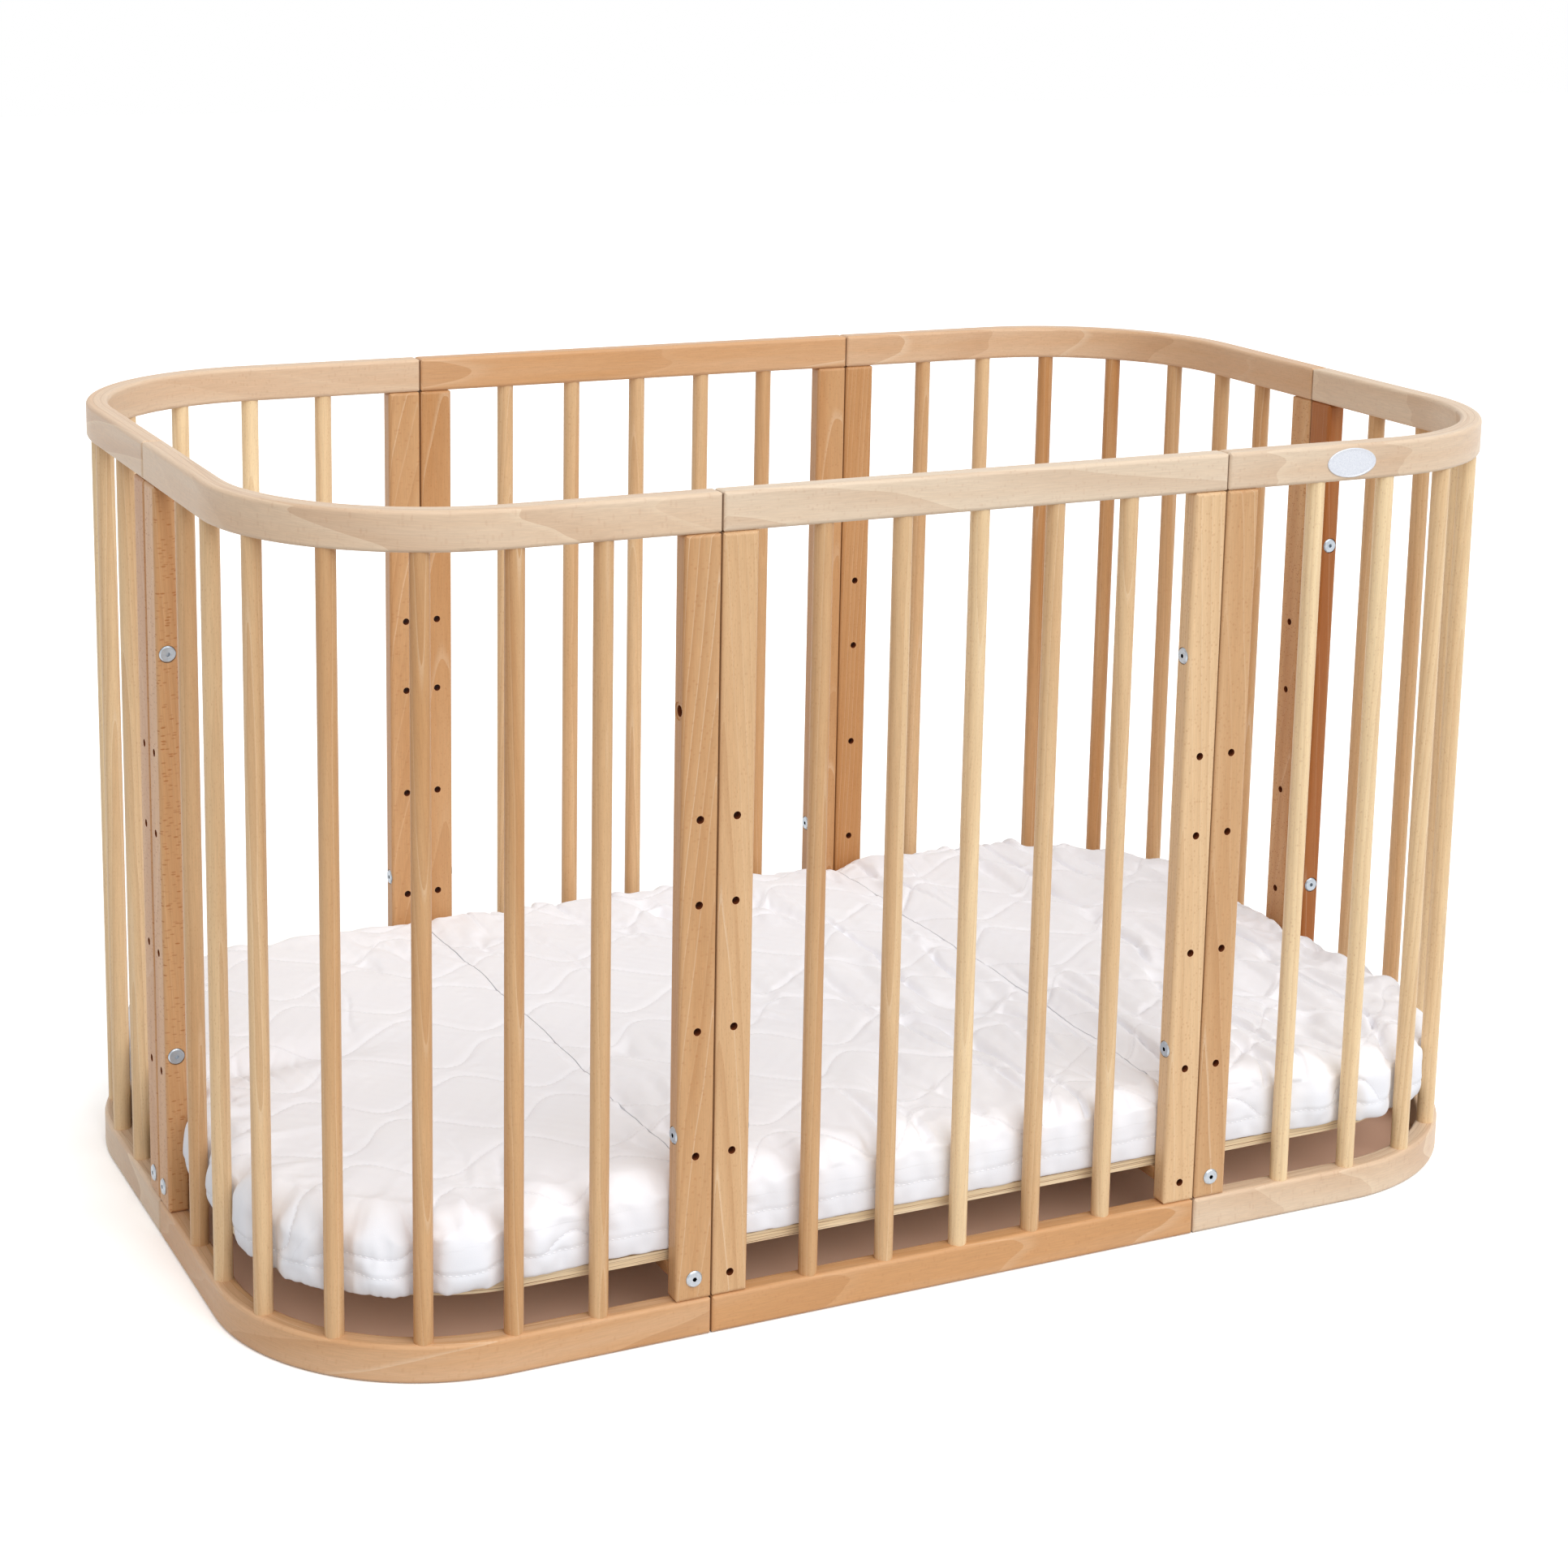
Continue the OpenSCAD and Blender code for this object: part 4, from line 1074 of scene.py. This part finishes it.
def make_pad():
    """The whole quilted pad as one skin, and which of its points lie near a line of stitches."""
    pad = pad_blank()
    co = points_of(pad)
    cloth = lay_cloth(co)
    formed, flank = press_edge(co, normals_of(pad))
    move_points(pad, formed)
    formed = settle_top(formed, normals_of(pad), cloth)
    move_points(pad, keep_clear(formed))
    mark(pad, "cloth", cloth)
    soft = bend_share(co[:, :2]) * np.where(co[:, 1] > 0, 0, 1)
    stuff(pad, held_down(co, cloth, flank), STUFFED + STUFFED_SOFT * soft)
    finer = pad.modifiers.new("finer", "SUBSURF")
    finer.levels = finer.render_levels = 2
    apply_modifiers(pad)
    cloth = cloth_of(pad)
    folded, row, quilted = fold_cover(points_of(pad), normals_of(pad), cloth)
    move_points(pad, keep_clear(folded))
    seam = cloth[:, 2] - (PAD_LOW.z + BAND_H)
    mark(pad, "row", np.where(quilted > 0.5, row, 1.0))
    mark(pad, "seam", seam)
    pad.data.shade_smooth()
    return pad, (np.abs(row) < 4 * MM) | (np.abs(seam) < 3 * MM)


def make_covers():
    """Cuts the pad into its three covers, each with its own stitches."""
    pad, near_seam = make_pad()
    places = stitch_places(pad, near_seam)
    tree, thread = stitch_tree(), cotton_thread()
    edges = [None, *CUTS, None]
    for i, part in enumerate(PARTS):
        low = edges[i] and edges[i] + CUT_GAP / 2
        high = edges[i + 1] and edges[i + 1] - CUT_GAP / 2
        cover = cut_part(pad, f"{part}_mattress_cover", low, high)
        move_points(cover, stray(points_of(cover)))
        wear(cover, QUILTED_COTTON)
        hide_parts(f"{part}_mattress_part")
        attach(cover, f"{part}_mattress")
        own = (places[:, 0] > (low or -1) + CUT_MARGIN) & (places[:, 0] < (high or 1) - CUT_MARGIN)
        laid = np.column_stack([stray(places[own, :3]), places[own, 3:]])
        stitches = sew(f"{part}_mattress_stitches", laid, tree, thread)
        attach(stitches, f"{part}_mattress")
    bpy.data.objects.remove(pad)


COTTON_TONES = ("#fcfcff", "#f7f7fd")
# Painted shade on the pad's sides
COTTON_SIDE_PAINTED_SHADE = "#f1f2f8"
# Painted shade along the quilted rows
ROW_PAINTED_SHADE = "#dcd9e0"
THREAD_TONES = ("#f4f4fa", "#ffffff")
# Threads lie 0.4 mm apart; they are drawn at 0.9 mm so that the weave shows.
WEAVE = 0.9 * MM
# The thread's twist turns once in about this length, and at this scale a wave texture's bands lie
# about one unit apart.
TWIST = 0.8 * MM
BAND_SCALE = 0.31


def cotton():
    """White woven cotton, quilted on wadding: matt, a little soft at grazing angles."""
    material = blank_finish("quilted_cotton")
    tree = material.node_tree
    place = add(tree, "ShaderNodeTexCoord")["Object"]
    row = add(tree, "ShaderNodeAttribute", attribute_name="row")["Fac"]
    away = add(tree, "ShaderNodeMath", {0: row}, operation="ABSOLUTE")[0]
    thread = add(tree, "ShaderNodeMapRange",
                 {"Value": away, "From Min": 0.4 * MM, "From Max": 1.6 * MM, "To Min": 1.0,
                  "To Max": 0.0})[0]
    weave = add(tree, "ShaderNodeVectorMath", {0: place, "Scale": 1 / WEAVE}, operation="SCALE")[0]
    weave = add(tree, "ShaderNodeTexNoise", {"Vector": weave, "Scale": 1.0, "Detail": 1.0})["Fac"]
    cloud = add(tree, "ShaderNodeTexNoise", {"Vector": place, "Scale": 14.0, "Detail": 3.0})["Fac"]
    white, pale = [tint(tone) for tone in COTTON_TONES]
    colour = add(tree, "ShaderNodeMix", {0: cloud, 6: white, 7: pale}, data_type="RGBA")[2]
    # Painted shade: the sides are drawn greyer than the top, though the cloth is the same white.
    height = add(tree, "ShaderNodeAttribute", attribute_name="seam")["Fac"]
    side = add(tree, "ShaderNodeMapRange",
               {"Value": height, "From Min": 4 * MM, "From Max": 45 * MM, "To Min": 1.0, "To Max": 0.0})[0]
    colour = add(tree, "ShaderNodeMix", {0: side, 6: colour, 7: tint(COTTON_SIDE_PAINTED_SHADE)}, data_type="RGBA")[2]
    # Painted shade: a grey line along each quilted row, where the cloth is pulled down into a groove.
    seam = add(tree, "ShaderNodeMath", {0: thread, 1: 0.25}, operation="MULTIPLY")[0]
    colour = add(tree, "ShaderNodeMix", {0: seam, 6: colour, 7: tint(ROW_PAINTED_SHADE)}, data_type="RGBA")[2]
    relief = add(tree, "ShaderNodeMath", {0: thread, 1: -3.0, 2: weave}, operation="MULTIPLY_ADD")[0]
    normal = add(tree, "ShaderNodeBump", {"Height": relief, "Distance": 0.12 * MM, "Strength": 0.6})[0]
    skin = add(tree, "ShaderNodeBsdfPrincipled",
               {"Base Color": colour, "Roughness": 0.92, "Normal": normal, "Sheen Weight": 0.15,
                "Sheen Roughness": 0.5, "Specular IOR Level": 0.2})[0]
    add(tree, "ShaderNodeOutputMaterial", {"Surface": skin})
    return material


def cotton_thread():
    """Spun thread: whiter than the cloth, with a faint gloss and its twist across each stitch."""
    material = blank_finish("cotton_thread")
    tree = material.node_tree
    place = add(tree, "ShaderNodeTexCoord")["Object"]
    twist = add(tree, "ShaderNodeTexWave", {"Vector": place, "Scale": BAND_SCALE / TWIST},
                bands_direction="DIAGONAL")["Fac"]
    pale, white = [tint(tone) for tone in THREAD_TONES]
    colour = add(tree, "ShaderNodeMix", {0: twist, 6: pale, 7: white}, data_type="RGBA")[2]
    normal = add(tree, "ShaderNodeBump", {"Height": twist, "Distance": 0.05 * MM, "Strength": 0.6})[0]
    skin = add(tree, "ShaderNodeBsdfPrincipled",
               {"Base Color": colour, "Roughness": 0.6, "Normal": normal, "Specular IOR Level": 0.4})[0]
    add(tree, "ShaderNodeOutputMaterial", {"Surface": skin})
    return material


QUILTED_COTTON = cotton()
make_covers()


# --- the blank badge ---

BADGE_SIZE = (57 * MM, 29 * MM)
BADGE_T = 1.3 * MM
BADGE_X = 407 * MM
# Each ring's share of the badge's half size and of its thickness, from the back to the middle
BADGE_RINGS = ((1.0, -0.1), (1.0, 0.55), (0.975, 0.85), (0.93, 0.9), (0.9, 0.75), (0.88, 0.62),
               (0.6, 0.86), (0.3, 0.97))
BADGE_SIDES = 72
PEARL_TONES = ("#d0d4de", "#e0e3ea")
# Width of a flake in the lacquer
FLAKE = 0.7 * MM


def pearl_lacquer():
    """Stamped metal under a pearly white lacquer: pale, smooth, with a fine cool glitter."""
    material = blank_finish("pearl_lacquer")
    tree = material.node_tree
    place = add(tree, "ShaderNodeTexCoord")["Object"]
    flake = add(tree, "ShaderNodeTexVoronoi", {"Vector": place, "Scale": 1 / FLAKE})["Color"]
    flake = add(tree, "ShaderNodeSeparateColor", {0: flake})["Red"]
    grey, pale = [tint(tone) for tone in PEARL_TONES]
    colour = add(tree, "ShaderNodeMix", {0: flake, 6: grey, 7: pale}, data_type="RGBA")[2]
    rough = add(tree, "ShaderNodeMapRange", {"Value": flake, "To Min": 0.28, "To Max": 0.4})[0]
    skin = add(tree, "ShaderNodeBsdfPrincipled",
               {"Base Color": colour, "Roughness": rough, "Metallic": 0.3, "Coat Weight": 0.6,
                "Coat Roughness": 0.1})[0]
    add(tree, "ShaderNodeOutputMaterial", {"Surface": skin})
    return material


def make_badge():
    """A blank oval badge with a raised rim, on the outer face of the right corner's top rail."""
    turn = np.linspace(0, 2 * math.pi, BADGE_SIDES, endpoint=False)
    shape = bmesh.new()
    low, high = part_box("front_right_corner_top_rail")
    middle_z = (low.z + high.z) / 2
    loops = []
    for size, height in BADGE_RINGS:
        wide, tall = size * BADGE_SIZE[0] / 2, size * BADGE_SIZE[1] / 2
        ring = [(BADGE_X + wide * math.cos(t), -HALF_W - height * BADGE_T, middle_z + tall * math.sin(t))
                for t in turn]
        loops.append([shape.verts.new(place) for place in ring])
    for inner, outer in zip(loops[1:], loops):
        for i in range(BADGE_SIDES):
            shape.faces.new((outer[i], outer[i - 1], inner[i - 1], inner[i]))
    shape.faces.new(loops[0])
    shape.faces.new(loops[-1])
    bmesh.ops.poke(shape, faces=[f for f in shape.faces if len(f.verts) > 4])
    bmesh.ops.recalc_face_normals(shape, faces=shape.faces)
    for face in shape.faces:
        face.smooth = True
    badge = piece_from("rail_badge", shape)
    wear(badge, pearl_lacquer())
    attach(badge, "cot")


make_badge()


# --- camera, light and floor ---

EYE = (-1.3678, -2.77136, 1.31518)
# Turned to the right, tipped down and tilted, in radians
LOOK = (0.45708, 0.19992, 0.01918)
LENS = 69.79
VIEW_SHIFT = -0.18
VIEW_END = 100
ROOM_LIGHT = 0.6
KEY_LIGHT = 1.98
KEY_FROM = (0.16, -0.86, 0.89)
KEY_ANGLE = math.radians(65)
FLOOR_REACH = 14
# The floor lies this far under the cot, so that their faces don't fight.
FLOOR_DROP = 0.2 * MM
FLOOR_WHITE = "#ffffff"
# Painted warm shade tint of the floor under the cot
FLOOR_UNDER_SHADE_TINT = "#ffd5bc"
FLOOR_BOUNCE = "#bcbcbc"
# How bright the floor shows to the camera
FLOOR_SHOWN = 1.4
# The painted warm shade under the cot fades in between these two distances in from the cot's outline.
UNDER_SHADE_EDGE = (8 * MM, 28 * MM)


def set_camera():
    """Stands left of the cot's front, a little above its rim, and looks slightly down."""
    yaw, pitch, roll = LOOK
    ahead = Vector((math.sin(yaw) * math.cos(pitch), math.cos(yaw) * math.cos(pitch), -math.sin(pitch)))
    right = Vector((math.cos(yaw), -math.sin(yaw), 0))
    up = right.cross(ahead)
    tilted_right = math.cos(roll) * right + math.sin(roll) * up
    tilted_up = math.cos(roll) * up - math.sin(roll) * right
    data = bpy.data.cameras.new("camera")
    data.lens = LENS
    data.shift_y = VIEW_SHIFT
    data.clip_end = VIEW_END
    camera = new_piece("camera", data)
    turn = Matrix((tilted_right, tilted_up, -ahead)).transposed().to_4x4()
    camera.matrix_world = Matrix.Translation(EYE) @ turn
    bpy.context.scene.camera = camera


def seen_directly(tree):
    """1 for what the camera sees, also in metal and glass, and 0 for the light that bounces on."""
    path = add(tree, "ShaderNodeLightPath")
    seen = add(tree, "ShaderNodeMath", {0: path["Is Camera Ray"], 1: path["Is Glossy Ray"]},
               operation="MAXIMUM")[0]
    return add(tree, "ShaderNodeMath", {0: seen, 1: path["Is Transmission Ray"]}, operation="MAXIMUM")[0]


def set_light():
    """A white room and one wide soft light from the front, above."""
    world = bpy.data.worlds.new("studio")
    world.use_nodes = True
    tree = world.node_tree
    tree.nodes.clear()
    seen = seen_directly(tree)
    strength = add(tree, "ShaderNodeMapRange", {"Value": seen, "To Min": ROOM_LIGHT, "To Max": 1.0})[0]
    glow = add(tree, "ShaderNodeBackground", {"Color": (1, 1, 1, 1), "Strength": strength})[0]
    add(tree, "ShaderNodeOutputWorld", {"Surface": glow})
    bpy.context.scene.world = world
    lamp = bpy.data.lights.new("softbox", "SUN")
    lamp.energy = KEY_LIGHT
    lamp.angle = KEY_ANGLE
    light = new_piece("softbox", lamp)
    light.rotation_euler = Vector(KEY_FROM).to_track_quat("Z", "Y").to_euler()


def set_floor():
    """A floor that shows white round the cot and, as painted shade, brown under it, and throws only half its
    light back.
    """
    material = blank_finish("pale_floor")
    tree = material.node_tree
    seen = seen_directly(tree)
    place = add(tree, "ShaderNodeTexCoord")["Object"]
    place = add(tree, "ShaderNodeVectorMath", {0: place}, operation="ABSOLUTE")[0]
    place = add(tree, "ShaderNodeVectorMath", {0: place, 1: (BEND_X, BEND_Y, 0)}, operation="SUBTRACT")[0]
    place = add(tree, "ShaderNodeVectorMath", {0: place, 1: (0, 0, 0)}, operation="MAXIMUM")[0]
    away = add(tree, "ShaderNodeVectorMath", {0: place}, operation="LENGTH")["Value"]
    # Painted shade: the floor under the cot is tinted warm for the camera, as the shadow there is brown.
    under = add(tree, "ShaderNodeMapRange",
                {"Value": away, "From Min": BEND_R - UNDER_SHADE_EDGE[0], "From Max": BEND_R - UNDER_SHADE_EDGE[1]})[0]
    paper = add(tree, "ShaderNodeMix", {0: under, 6: tint(FLOOR_WHITE), 7: tint(FLOOR_UNDER_SHADE_TINT)},
                data_type="RGBA")[2]
    paper = add(tree, "ShaderNodeVectorMath", {0: paper, "Scale": FLOOR_SHOWN}, operation="SCALE")[0]
    paper = add(tree, "ShaderNodeMix", {0: seen, 6: tint(FLOOR_BOUNCE), 7: paper}, data_type="RGBA")[2]
    cover = add(tree, "ShaderNodeBsdfDiffuse", {"Color": paper})[0]
    add(tree, "ShaderNodeOutputMaterial", {"Surface": cover})
    mesh = bpy.data.meshes.new("floor")
    corners = [(sx * FLOOR_REACH, sy * FLOOR_REACH, 0) for sx, sy in ((-1, -1), (1, -1), (1, 1), (-1, 1))]
    mesh.from_pydata(corners, [], [(0, 1, 2, 3)])
    floor = new_piece("floor", mesh)
    floor.location.z = -FLOOR_DROP
    wear(floor, material)


set_camera()
set_light()
set_floor()

bpy.context.scene.view_settings.view_transform = "Standard"
